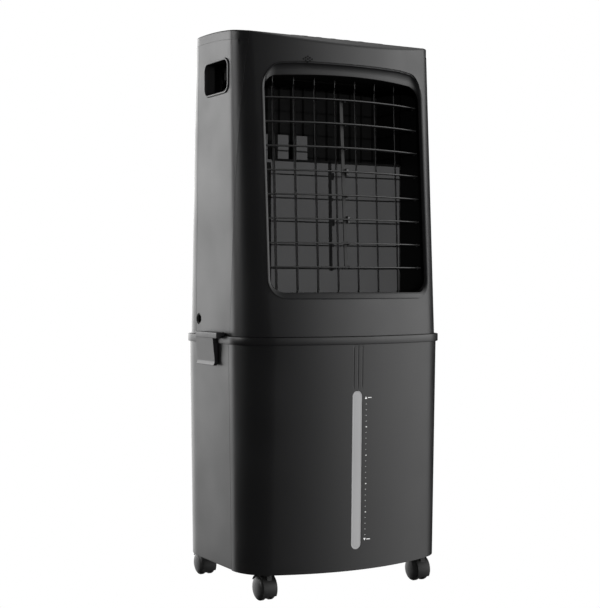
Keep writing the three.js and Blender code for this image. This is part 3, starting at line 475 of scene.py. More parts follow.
# ------------------------------------------------------------------ pieces
def piece(name, part, material, body="cabinet", slot="housing", stands_for=(), skin=0.0, bevel=0.0,
          steps=2, angle=38.0, closed=True):
    """Makes the object: an open skin is thickened inwards, sharp edges get a small round."""
    verts, faces = part
    mesh = bpy.data.meshes.new(name)
    mesh.from_pydata([tuple(c * MM for c in v) for v in verts], [], faces)
    work = bmesh.new()
    work.from_mesh(mesh)
    bmesh.ops.remove_doubles(work, verts=work.verts, dist=0.02 * MM)
    bmesh.ops.dissolve_degenerate(work, edges=work.edges, dist=0.002 * MM)
    if closed:
        bmesh.ops.recalc_face_normals(work, faces=work.faces)
    for face in work.faces:
        face.smooth = True
    work.to_mesh(mesh)
    work.free()
    obj = added(name, mesh)
    mesh.materials.append(material)
    if skin:
        thick = obj.modifiers.new("wall", "SOLIDIFY")
        thick.thickness = skin * MM
        thick.offset = -1
    if bevel:
        rounding = obj.modifiers.new("edges", "BEVEL")
        rounding.width = bevel * MM
        rounding.segments = steps
        rounding.limit_method = "ANGLE"
        rounding.angle_limit = math.radians(angle)
        rounding.harden_normals = True
        rounding.use_clamp_overlap = True
    else:
        mesh.set_sharp_from_angle(angle=math.radians(angle))
    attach(obj, body)
    if stands_for:
        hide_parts(*stands_for)
    return obj


def casing(name, part, node, bevel, steps=2):
    """A panel of the casing, drawn as its open outer skin."""
    return piece(name, part, HOUSING, stands_for=[node], skin=WALL, bevel=bevel, steps=steps, closed=False)


def moving(name, part, material, node, slot="housing", bevel=0.0):
    """A piece that rides on the body of the node it stands for."""
    return piece(name, part, material, body=node, slot=slot, stands_for=[node], bevel=bevel)


# ------------------------------------------------------------------ materials
def principled(name, color, roughness, **inputs):
    material = bpy.data.materials.new(name)
    material.use_nodes = True
    shader = material.node_tree.nodes["Principled BSDF"]
    shader.inputs["Base Color"].default_value = (*color, 1)
    shader.inputs["Roughness"].default_value = roughness
    for key, value in inputs.items():
        shader.inputs[key.replace("_", " ")].default_value = value
    return material, shader


def coordinates(material):
    return material.node_tree.nodes.new("ShaderNodeTexCoord").outputs["Object"]


def noise(material, scale, detail=2.0, stretch_by=None):
    """Noise over object space; scale is in cycles per metre."""
    nodes, links = material.node_tree.nodes, material.node_tree.links
    texture = nodes.new("ShaderNodeTexNoise")
    texture.inputs["Scale"].default_value = scale
    texture.inputs["Detail"].default_value = detail
    source = coordinates(material)
    if stretch_by:
        mapping = nodes.new("ShaderNodeMapping")
        mapping.inputs["Scale"].default_value = stretch_by
        links.new(source, mapping.inputs["Vector"])
        source = mapping.outputs["Vector"]
    links.new(source, texture.inputs["Vector"])
    return texture.outputs["Fac"]


def ranged(material, value, low, high):
    """Maps a 0..1 texture on to a range."""
    node = material.node_tree.nodes.new("ShaderNodeMapRange")
    node.inputs["From Min"].default_value = 0.3
    node.inputs["From Max"].default_value = 0.7
    node.inputs["To Min"].default_value = low
    node.inputs["To Max"].default_value = high
    material.node_tree.links.new(value, node.inputs["Value"])
    return node.outputs["Result"]


def bumped(material, shader, value, strength, distance):
    node = material.node_tree.nodes.new("ShaderNodeBump")
    node.inputs["Strength"].default_value = strength
    node.inputs["Distance"].default_value = distance
    material.node_tree.links.new(value, node.inputs["Height"])
    material.node_tree.links.new(node.outputs["Normal"], shader.inputs["Normal"])


def tinted(material, shader, value, dark, light):
    """Base colour that drifts between two shades."""
    node = material.node_tree.nodes.new("ShaderNodeMix")
    node.data_type = "RGBA"
    node.inputs["A"].default_value = (*dark, 1)
    node.inputs["B"].default_value = (*light, 1)
    material.node_tree.links.new(value, node.inputs["Factor"])
    material.node_tree.links.new(node.outputs["Result"], shader.inputs["Base Color"])


def moulded(name, color, roughness, grain=2600.0, depth=0.00002, drift=0.04, **inputs):
    """Moulded plastic: spark-eroded grain, slow drift in gloss and a trace of shade variation."""
    material, shader = principled(name, color, roughness, **inputs)
    slow = noise(material, 9.0, 3.0)
    material.node_tree.links.new(ranged(material, slow, roughness - drift, roughness + drift),
                                 shader.inputs["Roughness"])
    tinted(material, shader, slow, [c * 0.9 for c in color], [c * 1.1 for c in color])
    bumped(material, shader, noise(material, grain, 2.0), 0.35, depth)
    return material


HOUSING = moulded("satin_black_housing", (0.0042, 0.0042, 0.0044), 0.36, Specular_IOR_Level=0.55)
INNER = moulded("matt_black_inner", (0.0035, 0.0035, 0.0035), 0.55, grain=1800.0, depth=0.00003)
# Near-black, dull finish that paints shade: the duct, the chamber over the fan case, the strip along the
# plate's top edge and the nine dots read darker than the black housing through it.
PAINTED_SHADE = moulded("painted_shade_black", (0.0025, 0.0025, 0.0025), 0.7, grain=1800.0, Specular_IOR_Level=0.2)
LOUVRE = moulded("louvre_black", (0.012, 0.012, 0.012), 0.38, grain=2200.0, Specular_IOR_Level=0.8)
LINK = moulded("link_rod_black", (0.009, 0.009, 0.009), 0.5, grain=2200.0, Specular_IOR_Level=0.4)
# The same black plastic as the slats, with a darker base colour that paints the shade on the vane faces
# turned from the light.
VANE = moulded("vane_black_painted_shade", (0.0025, 0.0025, 0.0025), 0.36, grain=2200.0, Specular_IOR_Level=0.8)
PLATE = moulded("grey_fan_case_plate", (0.041, 0.041, 0.0415), 0.7, grain=1500.0, depth=0.00002,
                Specular_IOR_Level=0.06)
RUBBER = moulded("black_rubber", (0.006, 0.006, 0.006), 0.72, grain=1300.0, depth=0.00005)
WHEEL = moulded("nylon_wheel", (0.007, 0.007, 0.007), 0.4, grain=1700.0, depth=0.00003)
FROSTED = moulded("frosted_window", (0.195, 0.195, 0.197), 0.42, grain=900.0, depth=0.00003)
INK = moulded("printed_mark", (0.5, 0.5, 0.5), 0.5, grain=1500.0)
HOSE = moulded("milky_hose", (0.5, 0.52, 0.53), 0.35, grain=700.0)


def metal_material():
    material, shader = principled("zinc_plated_can", (0.42, 0.43, 0.44), 0.38, Metallic=1.0)
    streaks = noise(material, 260.0, 3.0, (1, 1, 0.06))
    material.node_tree.links.new(ranged(material, streaks, 0.3, 0.46), shader.inputs["Roughness"])
    bumped(material, shader, streaks, 0.2, 0.00002)
    return material


def pad_material():
    """Resin-stiffened cellulose: fibrous, patchy brown."""
    material, shader = principled("cellulose_pad", (0.2, 0.125, 0.06), 0.9)
    tinted(material, shader, noise(material, 45.0, 5.0), (0.13, 0.078, 0.035), (0.26, 0.17, 0.085))
    bumped(material, shader, noise(material, 900.0, 4.0, (1, 1, 0.3)), 0.5, 0.0002)
    return material


METAL = metal_material()
PAD = pad_material()

LOOKS = {"housing": HOUSING, "inner": INNER, "louvre": LOUVRE, "plate": PLATE, "pad": PAD, "window": FROSTED,
         "hose": HOSE, "rubber": RUBBER, "wheel": WHEEL, "metal": METAL}


def dress_cad_nodes():
    """Every CAD node starts with the procedural finish of its slot."""
    for row in frame["record"]["subparts"]:
        obj = frame["nodes"][row["node"]]
        obj.data.materials.clear()
        obj.data.materials.append(LOOKS[row["material_slot"]])
        obj.data.set_sharp_from_angle(angle=math.radians(35))


# ------------------------------------------------------------------ casing panels
def wall_panel(shell, outer, holes, flat_step=9.0, row_step=12.0, clear=3.2, lift=None, more_columns=()):
    """Open skin over part of the casing's wall, with outlines in (u, z); lift moves places outwards."""
    us = [p[0] for p in outer]
    vs = [p[1] for p in outer]
    columns = sorted({*shell.columns(min(us), max(us), flat_step), *more_columns})
    rows = even(min(vs), max(vs), round((max(vs) - min(vs)) / row_step))[1:-1]
    flat, faces = fill(outer, holes, columns, rows, clear)
    return [shell.point(u, z, -lift(u, z) if lift else 0) for u, z in flat], faces


def seam_line(shell, seam, shift, z0, z1, side, step=6.0):
    """Points of (u, z) along a seam on one side, from z0 to z1."""
    count = max(2, round(abs(z1 - z0) / step))
    heights = even(z0, z1, count)
    return [(side * shell.u_at_y(seam_y(seam, z) + shift, z), z) for z in heights]


OUTLET_STEPS = dict(across=44, up=52, corner=14)


def outlet_ring(grow, depth, corner=OUTLET["corner"]):
    """Outline of the outlet, grown, at a depth behind the face; it always has the same number of points.

    Both may be amounts for the side, top and bottom, which then run into each other round the corners.
    """
    grow = grow if isinstance(grow, dict) else dict(side=grow, top=grow, bottom=grow)
    depth = depth if isinstance(depth, dict) else dict(side=depth, top=depth, bottom=depth)
    half = OUTLET["half"] + grow["side"]
    bottom, top = OUTLET["bottom"] - grow["bottom"], OUTLET["top"] + grow["top"]
    wide = corner + grow["side"]
    low, high = corner + grow["bottom"], corner + grow["top"]
    centres = [(half - wide, bottom + low, -90, low), (half - wide, top - high, 0, high),
               (-half + wide, top - high, 90, high), (-half + wide, bottom + low, 180, low)]

    def on_arc(k, turn):
        cx, cz, start, tall = centres[k]
        angle = math.radians(start + turn)
        up = math.sin(angle)
        deep = mix(depth["side"], depth["top" if up > 0 else "bottom"], up ** 2)
        return cx + wide * math.cos(angle), cz + tall * up, deep

    flat = []
    for k in range(4):
        flat += [on_arc(k, 90 * i / OUTLET_STEPS["corner"]) for i in range(OUTLET_STEPS["corner"])]
        a, b = on_arc(k, 90), on_arc((k + 1) % 4, 0)
        steps = OUTLET_STEPS["up" if k % 2 == 0 else "across"]
        flat += [tuple(mix(p, q, i / steps) for p, q in zip(a, b)) for i in range(steps)]
    middle = (OUTLET["bottom"] + OUTLET["top"]) / 2
    ring = []
    for x, z, deep in flat:
        rise = max(0.0, (z - middle) / (OUTLET["top"] - middle)) ** 6
        rise *= 1 - min(1, abs(x) / OUTLET["half"]) ** 2
        z += OUTLET_ARCH * min(rise, 1.0)
        ring.append((x, upper_face(x, z) + deep, z))
    return ring


def cove_rings():
    """From the casing's face to the lip: hollow at the top, sloped at the bottom, rounded at the sides."""
    steps = 10
    spread = COVE_SPREAD
    rings = []
    for i in range(steps + 1):
        angle = math.pi / 2 * i / steps
        grow = dict(side=spread["side"] * (1 - math.sin(angle)), top=spread["top"] * math.cos(angle),
                    bottom=spread["bottom"] * (1 - i / steps))
        depth = dict(side=5.0 * (1 - math.cos(angle)), top=COVE_DEPTH * 0.95 * math.sin(angle),
                     bottom=2.2 * i / steps)
        rings.append(outlet_ring(grow, depth))
    rings.append(outlet_ring(0.0, dict(side=6.0, top=COVE_DEPTH, bottom=COVE_DEPTH)))
    return rings


def along_crown(u0, u1, count, drop):
    """Points along the panel's top edge, without its two corners."""
    return [(u, top_edge(u, drop)) for u in even(u0, u1, count)[1:-1]]


def along_foot(u0, u1, count, z=UPPER_BOTTOM):
    """Points along a panel's level edge, without its two corners."""
    return [(u, z) for u in even(u0, u1, count)[1:-1]]


def front_housing():
    shift = -GAP / 2
    drop = WALL + GAP
    z_top = seam_top(FRONT_SEAM, shift, drop)
    right = seam_line(UPPER, FRONT_SEAM, shift, UPPER_BOTTOM, z_top, 1)
    low_u, top_u = right[0][0], right[-1][0]
    left = [(-u, z) for u, z in right[::-1]]
    bottom = along_foot(-low_u, low_u, 120)
    outer = [left[-1], *bottom, *right, *along_crown(top_u, -top_u, 120, drop), *left[:-1]]
    rings = cove_rings()
    hole = [(UPPER.u_at_x(x, z), z) for x, _, z in rings[0]]
    skin = wall_panel(UPPER, outer, [hole])
    rings[0] = [UPPER.point(u, z) for u, z in hole]
    cove = strips(rings)
    cove = (cove[0], [face[::-1] for face in cove[1]])
    return join([skin, cove])


def handle_outline(grow, step=5.0, arc_steps=10):
    return rounded_rect(HANDLE["front"] - grow, HANDLE["back"] + grow, HANDLE["bottom"] - grow,
                        HANDLE["top"] + grow, HANDLE["corner"] + grow, step, arc_steps)


def side_panel(side):
    drop = SKIRT + GAP
    front_top = seam_top(FRONT_SEAM, GAP / 2, drop)
    rear_top = seam_top(REAR_SEAM, -GAP / 2, drop)
    front = seam_line(UPPER, FRONT_SEAM, GAP / 2, front_top, UPPER_BOTTOM, 1)
    rear = seam_line(UPPER, REAR_SEAM, -GAP / 2, UPPER_BOTTOM, rear_top, 1)
    low = along_foot(front[-1][0], rear[0][0], 30)
    outer = [*front, *low, *rear, *along_crown(rear[-1][0], front[0][0], 30, drop)]
    holes = [[(UPPER.u_at_y(y, z), z) for y, z in handle_outline(0)]]
    if side < 0:
        ring = circle(INLET["y"], INLET["z"], INLET["radius"], 32)
        holes.append([(UPPER.u_at_y(y, z), z) for y, z in ring])
    return mirrored(wall_panel(UPPER, outer, holes, clear=2.2), side)


def leaned_rear(x, z, depth):
    """A place on the leaning rear face of the upper casing."""
    return (x, UPPER.plan(z)["rear"] - depth, z)


def u_at_rear(x, z):
    plan = UPPER.plan(z)
    b = UPPER.breaks
    return b[5] - x * (b[5] - b[4]) / (plan["half"] - plan["rear_r"])


FILTER_LIP = 14.0
GLAND = dict(x=-120.0, z=550.0, radius=7.6)


def rear_frame():
    """u runs on past the middle of the rear, so the panel's outline is one piece."""
    drop = SKIRT + GAP
    z_top = seam_top(REAR_SEAM, GAP / 2, drop)
    around = 2 * UPPER.breaks[5]
    right = seam_line(UPPER, REAR_SEAM, GAP / 2, z_top, UPPER_BOTTOM, 1)
    left = [(around - u, z) for u, z in right[::-1]]
    low = along_foot(right[-1][0], left[0][0], 110)
    outer = [*right, *low, *left, *along_crown(left[-1][0], right[0][0], 110, drop)]
    flat = rounded_rect(-FILTER["half"], FILTER["half"], FILTER["bottom"], FILTER["top"], 6.0, 6.0, 6)
    hole = [(u_at_rear(x, z), z) for x, z in flat]
    gland = [(u_at_rear(x, z), z) for x, z in circle(GLAND["x"], GLAND["z"], GLAND["radius"], 24)]
    skin = wall_panel(UPPER, outer, [hole[::-1], gland[::-1]], clear=2.6)
    rings = [[UPPER.point(u, z) for u, z in hole]]
    for depth in (5.0, 10.0, FILTER_LIP):
        rings.append([leaned_rear(x, z, depth) for x, z in flat])
    inner = rounded_rect(-FILTER["half"] + 8, FILTER["half"] - 8, FILTER["bottom"] + 8, FILTER["top"] - 8,
                         4.0, 6.0, 6)
    lip = strips([rings[-1], [leaned_rear(*nearest(inner, p), FILTER_LIP) for p in flat]])
    well = strips(rings)
    return join([skin, well, lip])


def nearest(loop, point):
    """The corner-to-corner partner of a point on a smaller outline: the point moved in to its box."""
    u, v = point
    us = [p[0] for p in loop]
    vs = [p[1] for p in loop]
    return min(max(u, min(us)), max(us)), min(max(v, min(vs)), max(vs))


def top_cover():
    """Crowned lid: the top surface, its rounded edge and the skirt round the sides and back."""
    u_seam = seam_line(UPPER, FRONT_SEAM, GAP / 2, CREST_Z - 40, CREST_Z - 39, 1)[0][0]
    marks = UPPER.columns(-UPPER.breaks[5] - 0.1, UPPER.breaks[5] - 0.1, 7.0, 5.0)
    marks = sorted({*marks, -u_seam, u_seam, -u_seam - 0.3, u_seam + 0.3})
    rings = []
    round_r = 3.2

    def ring(drop_at, inset):
        points = []
        for u in marks:
            edge = top_edge(u, 0)
            z = edge - drop_at(u)
            at = u
            if abs(abs(u) - u_seam) < 0.5:
                here = UPPER.u_at_y(seam_y(FRONT_SEAM, z) + GAP / 2, edge)
                at = math.copysign(here + abs(u) - u_seam, u)
            x, y, _ = UPPER.point(at, edge, inset)
            points.append((x, y, z))
        return points

    behind = [abs(u) > u_seam + 0.01 for u in marks]
    deep = dict(zip(marks, behind))
    rings.append(ring(lambda u: SKIRT if deep[u] else WALL + 0.4, 0.0))
    rings.append(ring(lambda u: SKIRT / 2 if deep[u] else WALL + 0.2, 0.0))
    for i in range(6):
        angle = math.pi / 2 * i / 5
        rings.append(ring(lambda u, a=angle: round_r * (1 - math.sin(a)), round_r * (1 - math.cos(angle))))
    rim = [(x, y, crown(y)) for x, y, _ in rings[-1]]
    rings[-1] = rim
    wall = strips(rings)
    outer = [(x, y) for x, y, _ in rim]
    middle = (PANEL["front"] + PANEL["back"]) / 2
    deep_half = (PANEL["back"] - PANEL["front"]) / 2 * math.cos(math.radians(PANEL["tip"]))
    hole = rounded_rect(-PANEL["half"], PANEL["half"], middle - deep_half, middle + deep_half,
                        PANEL["corner"], 5.0, 6)
    columns = even(-236, 236, 48)
    rows = sorted({*even(-190, 180, 37), CROWN_FRONT_Y})
    flat, faces = fill(outer, [hole], columns, rows, 3.0)
    top = ([(x, y, crown(y)) for x, y in flat], faces)
    return join([wall, top])


# ------------------------------------------------------------------ water tank
TANK_CAVITY = 6.3
LATCH = dict(bar_front=-40.0, bar_back=59.0, bar_top=534.0, bar_bottom=522.0, bar_out=256.6,
             flap_front=-12.0, flap_back=70.0, bottom=465.5, axis_x=243.5, axis_z=530.2)
LUG = (4.0, 16.0)
CATCH = dict(front=20.0, back=40.0, bottom=478.0, top=490.0, depth=3.0)
DRAIN = dict(z=84.0, hole=12.0)
STEM_HOLE = dict(radius=5.5, depth=22.0)
TANK_SEAM_MARKS = (-0.6, 0.5)    # either side of the seam, where the tub steps in behind the front panel


def tank_ring(marks, seam_step, z, inset, at=None):
    """One outline of the tub; ahead of the seam it steps in behind the front panel."""
    height = z if at is None else at
    seam = TANK.u_at_y(seam_y(TANK_SEAM, height) + GAP / 2, height)
    near = [side * (seam + shift) for side in (-1, 1) for shift in TANK_SEAM_MARKS]
    points = []
    for u in sorted([*marks, *near]):
        step = seam_step if abs(u) < seam else 0
        points.append(TANK.point(u, height, inset + step)[:2] + (z,))
    return points


def water_tank():
    seam = TANK.u_at_y(-61.5, 283.0)
    marks = TANK.columns(-TANK.breaks[5] - 0.1, TANK.breaks[5] - 0.1, 9.0, 4.0)
    marks = [u for u in marks if abs(abs(u) - seam) > 6]
    step = WALL + GAP
    rings = [tank_ring(marks, step, TANK_BOTTOM, 12.0)]
    for i in range(5):
        angle = math.pi / 2 * i / 4
        rings.append(tank_ring(marks, step, TANK_BOTTOM + 4 * (1 - math.cos(angle)),
                               4 * (1 - math.sin(angle))))
    for z in even(TANK_BOTTOM + 4, TANK_TOP - 0.4, 12)[1:-1]:
        rings.append(tank_ring(marks, step, z, 0))
    rings.append(tank_ring(marks, step, TANK_TOP - 0.3, 0, TANK_TOP))
    out, eased, flat = -RIM_PROUD, 0.3 - RIM_PROUD, 1.1 - RIM_PROUD
    for z, inset in ((TANK_TOP, 0.4), (TANK_TOP, flat), (TANK_TOP + 0.4, eased), (TANK_TOP + 1.2, out),
                     (518.0, out), (RIM_TOP - 1.2, out), (RIM_TOP - 0.4, eased), (RIM_TOP, flat),
                     (RIM_TOP, TANK_CAVITY - 0.6), (RIM_TOP - 0.6, TANK_CAVITY)):
        rings.append(tank_ring(marks, 0, z, inset, TANK_TOP))
    for z in even(TANK_TOP, TANK_BOTTOM + 8, 11):
        rings.append(tank_ring(marks, 0, z, TANK_CAVITY))
    rings.append(tank_ring(marks, 0, TANK_BOTTOM + 5, TANK_CAVITY + 3))
    tub = loft(rings)
    pad = loft([[(x, y, z) for x, y in rounded_rect(-100 + g, 100 - g, -60 + g, 60 - g, 8, 40, 6)]
                for z, g in ((TANK_BOTTOM - 4, 1.2), (TANK_BOTTOM - 2.8, 0.0), (TANK_BOTTOM + 1, 0.0))])
    return join([tub, pad])


def tank_cutters():
    """What is cut out of the tub: rim by the latches, catches, stem holes and drain."""
    cuts = []
    outside = TANK_HIGH["half"]
    for side in (-1, 1):
        def block(inner, y0, y1, z0, z1, side=side):
            a, b = sorted((side * inner, side * 260))
            return box(a, b, y0, y1, z0, z1)
        cuts.append(block(outside, LATCH["flap_front"] - 2.5, LATCH["flap_back"] + 2.5, TANK_TOP - 1,
                          RIM_TOP + 1))
        cuts.append(block(outside + 0.05, LATCH["bar_front"] - 1.5, LATCH["flap_front"] - 1, RIM_TOP - 2.5,
                          RIM_TOP + 1.5))
        cuts.append(block(outside - CATCH["depth"], CATCH["front"], CATCH["back"], CATCH["bottom"],
                          CATCH["top"]))
        for y in (CASTER["front"], CASTER["rear"]):
            cuts.append(peg("z", (side * CASTER["x"], y, TANK_BOTTOM - 2), STEM_HOLE["radius"],
                            STEM_HOLE["depth"], 24))
    cuts.append(peg("y", (0, 160, DRAIN["z"]), DRAIN["hole"], 60, 32))
    return cuts


def carve(obj, cutters):
    """Cuts closed parts out of a piece and keeps the result as its mesh."""
    for i, part in enumerate(cutters):
        mesh = bpy.data.meshes.new("cutter")
        mesh.from_pydata([tuple(c * MM for c in v) for v in part[0]], [], part[1])
        work = bmesh.new()
        work.from_mesh(mesh)
        bmesh.ops.remove_doubles(work, verts=work.verts, dist=0.01 * MM)
        bmesh.ops.recalc_face_normals(work, faces=work.faces)
        work.to_mesh(mesh)
        work.free()
        tool = added("cutter", mesh)
        cut = obj.modifiers.new(f"cut_{i}", "BOOLEAN")
        cut.operation = "DIFFERENCE"
        cut.solver = "EXACT"
        cut.object = tool
        bpy.context.view_layer.update()
        graph = bpy.context.evaluated_depsgraph_get()
        carved = bpy.data.meshes.new_from_object(obj.evaluated_get(graph))
        obj.modifiers.remove(cut)
        old = obj.data
        name = old.name
        obj.data = carved
        bpy.data.meshes.remove(old)
        carved.name = name
        bpy.data.objects.remove(tool)
        bpy.data.meshes.remove(mesh)
    obj.data.set_sharp_from_angle(angle=math.radians(35))


GROOVES = dict(xs=(-24.0, -14.0, -4.0), bottom=422.0, top=506.0, half=1.2, depth=0.6)


def groove_lift(u, z):
    """Three shallow upright flutes above the window."""
    x = u * TANK.plan(z)["touch"] / TANK.breaks[1]
    if not GROOVES["bottom"] - 2 < z < GROOVES["top"] + 2:
        return 0
    ends = min(1, (z - GROOVES["bottom"]) / 3, (GROOVES["top"] - z) / 3)
    if ends <= 0:
        return 0
    for middle in GROOVES["xs"]:
        across = abs(x - middle) / GROOVES["half"]
        if across < 1:
            return -GROOVES["depth"] * ends * math.cos(across * math.pi / 2)
    return 0


def stadium(grow, step=6.0, arc_steps=14):
    half = WINDOW["width"] / 2 + grow
    return rounded_rect(WINDOW["x"] - half, WINDOW["x"] + half, WINDOW["bottom"] - grow,
                        WINDOW["top"] + grow, half - 0.01, step, arc_steps)


def tank_front_panel():
    z0, z1 = TANK_BOTTOM, TANK_TOP - 0.5
    right = seam_line(TANK, TANK_SEAM, -GAP / 2, z0, z1, 1, 7.0)
    low = along_foot(-right[0][0], right[0][0], 110, z0)
    high = along_foot(right[-1][0], -right[-1][0], 110, z1)
    left = [(-u, z) for u, z in right[::-1]]
    outer = [*low, *right, *high, *left]
    hole = [(TANK.u_at_x(x, z), z) for x, z in stadium(0)]
    fine = [m + d for m in GROOVES["xs"] for d in (-1.6, -1.2, -0.8, -0.4, 0, 0.4, 0.8, 1.2, 1.6)]
    return wall_panel(TANK, outer, [hole], 9.0, 7.0, 2.0, groove_lift, fine)


def on_tank_front(flat, depth):
    return [(x, tank_face(x, z) + depth, z) for x, z in flat]


def level_window():
    """A frosted lens, slightly domed, with a lip round it."""
    rings = [on_tank_front(stadium(-0.35), 2.9)]
    for grow, depth in ((-0.35, 1.2), (-0.6, 0.85), (-1.1, 0.7), (-2.2, 0.75), (-2.9, 1.1), (-4.5, 0.9),
                        (-7.0, 0.72), (-10.0, 0.65)):
        rings.append(on_tank_front(stadium(grow), depth))
    return loft(rings)


MARKS = dict(x0=4.0, x1=8.0, first=390.0, pitch=11.5, count=24, tall=1.0, lift=0.12)


def on_front_pad(flat):
    """A thin printed mark that follows the tank's face."""
    return loft([on_tank_front(flat, 0.3), on_tank_front(flat, -MARKS["lift"])])


def level_marks():
    parts = []
    for i in range(MARKS["count"]):
        z = MARKS["first"] - i * MARKS["pitch"]
        wide = i % 5 == 4
        tall = 1.9 if wide else MARKS["tall"]
        x1 = MARKS["x1"] - 0.3 if wide else MARKS["x1"] - 1.6
        parts.append(on_front_pad([(MARKS["x0"] + 0.8, z - tall / 2), (x1, z - tall / 2), (x1, z + tall / 2),
                                   (MARKS["x0"] + 0.8, z + tall / 2)]))
    for z, up in ((403.0, 1), (116.0, -1)):
        parts.append(on_front_pad([(2.0, z - up * 2.6), (7.6, z - up * 2.6), (4.8, z + up * 2.6)][::up]))
        parts.append(on_front_pad([(9.6, z - 0.8), (18.0, z - 0.8), (18.0, z + 0.8), (9.6, z + 0.8)]))
    return join(parts)


# ------------------------------------------------------------------ latches, handles, inlet
def latch(side):
    bar = soften([(238.6, 529.3), (240.6, 527.3), (245.2, 527.3), (245.2, LATCH["bar_bottom"]),
                  (LATCH["bar_out"], LATCH["bar_bottom"]), (LATCH["bar_out"], LATCH["bar_top"]),
                  (238.6, LATCH["bar_top"])], [0.4, 0.4, 0.4, 0.4, 1.0, 2.2, 0.6], 4)
    low = LATCH["bottom"]
    flap = soften([(240.2, 528), (240.2, 469), (243, low), (249.5, low), (249.5, low + 1.6),
                   (246.8, low + 8), (251.5, LATCH["bar_bottom"]), (251.5, 528)],
                  [0, 3, 1, 0.6, 0.6, 6, 2, 0], 4)

    def along(outline, y0, y1, ease):
        rings = []
        centre = np.mean(outline, axis=0)
        for y, shrink in ((y0, ease), (y0 + ease, 0), (y0 + ease + 0.3, 0), (y1 - ease - 0.3, 0),
                          (y1 - ease, 0), (y1, ease)):
            ring = []
            for x, z in outline:
                away = np.array((x, z)) - centre
                size = np.linalg.norm(away)
                x, z = centre + away * (1 - shrink / size * 0.7)
                ring.append((side * x, y, z))
            rings.append(ring)
        return loft(rings)

    y0, y1 = LUG[0] - 1, LUG[1] + 1
    parts = [along(bar, LATCH["bar_front"], y0, 0.6), along(bar, y1, LATCH["bar_back"], 0.6)]
    parts.append(along(flap, LATCH["flap_front"], LATCH["flap_back"], 0.6))
    bridge = soften([(249.8, LATCH["bar_bottom"]), (LATCH["bar_out"], LATCH["bar_bottom"]),
                     (LATCH["bar_out"], LATCH["bar_top"]), (249.8, LATCH["bar_top"])],
                    [0.4, 1.0, 2.2, 0.6], 4)
    parts.append(along(bridge, y0 - 1.2, y1 + 1.2, 0.1))
    parts.append(peg("y", (side * LATCH["axis_x"], LUG[0] - 2, LATCH["axis_z"]), 1.5, 16, 16))
    a, b = sorted((side * 237.2, side * 241.0))
    parts.append(box(a, b, CATCH["front"] + 1, CATCH["back"] - 1, CATCH["bottom"] + 4, CATCH["top"] - 4))
    return join(parts)


def latch_lug(side):
    """Knuckle on the side panel that the latch's pin turns in."""
    outline = soften([(234.4, 527.2), (247, 527.2), (247, 534), (234.4, 534)], [0, 2.4, 2.4, 0], 4)
    return mirrored(plate("y", outline, [circle(LATCH["axis_x"], LATCH["axis_z"], 1.9, 20)], *LUG), side)


def handle_loops(side, sections):
    return [[(side * x, y, z) for y, z in handle_outline(grow, 6.0, 10)] for x, grow in sections]


def handle_cup(side):
    """Deep grip behind its rim."""
    face = UPPER.plan(HANDLE["bottom"])["half"] - 1
    back = face - HANDLE["depth"]
    outer = [(back, -30.0), (back, -14.0), (back + 2.5, -6.0), (back + 8, -2.6), (face - 6, -1.6),
             (face - 2, -1.6)]
    inner = [(face - 2, -3.9), (back + 14, -5.2), (back + 7, -7.0), (back + 4.2, -10.5), (back + 3, -16.0),
             (back + 3, -30.0)]
    return loft(handle_loops(side, outer + inner))


def handle_rim(side):
    """Rolled lip round the grip, a little proud of the side."""
    face = UPPER.plan(HANDLE["bottom"])["half"] - 1
    out = face + HANDLE_RIM["proud"]
    width = HANDLE_RIM["width"]
    section = [(face - 3.4, -0.6), (out - 0.9, -0.6), (out - 0.2, -0.9), (out, -1.5), (out, -width),
               (out - 0.3, -width - 0.7), (out - 1.2, -width - 1.1), (face - 3.4, -width - 1.2)]
    return strips(handle_loops(side, section), wrap=True)


def water_inlet():
    y, z, r = INLET["y"], INLET["z"], INLET["radius"]
    return lathe("x", (-235.5, y, z), [
        (8.2, 0.4), (8.8, 0), (r - 1.1, 0), (r - 0.5, 0.6), (r - 0.5, 4.2), (14, 4.2), (14, 7), (10.9, 7),
        (10.6, 9), (10.9, 10), (10.3, 11), (10.9, 12), (10.3, 13), (10.9, 14), (10.3, 15), (10.9, 16),
        (10.3, 17), (10.6, 24), (8.2, 24)], 40)


# ------------------------------------------------------------------ louvres
def blade_z(i):
    return BLADE_TOP_Z - i * BLADE_PITCH


def blade_axis_y(i):
    return upper_face(OUTLET["half"], blade_z(i)) + BLADE_DEPTH + BLADE_CHORD / 2


def link_pin_y(i):
    return upper_face(0, blade_z(i)) + BLADE_DEPTH + BLADE_CHORD + 7


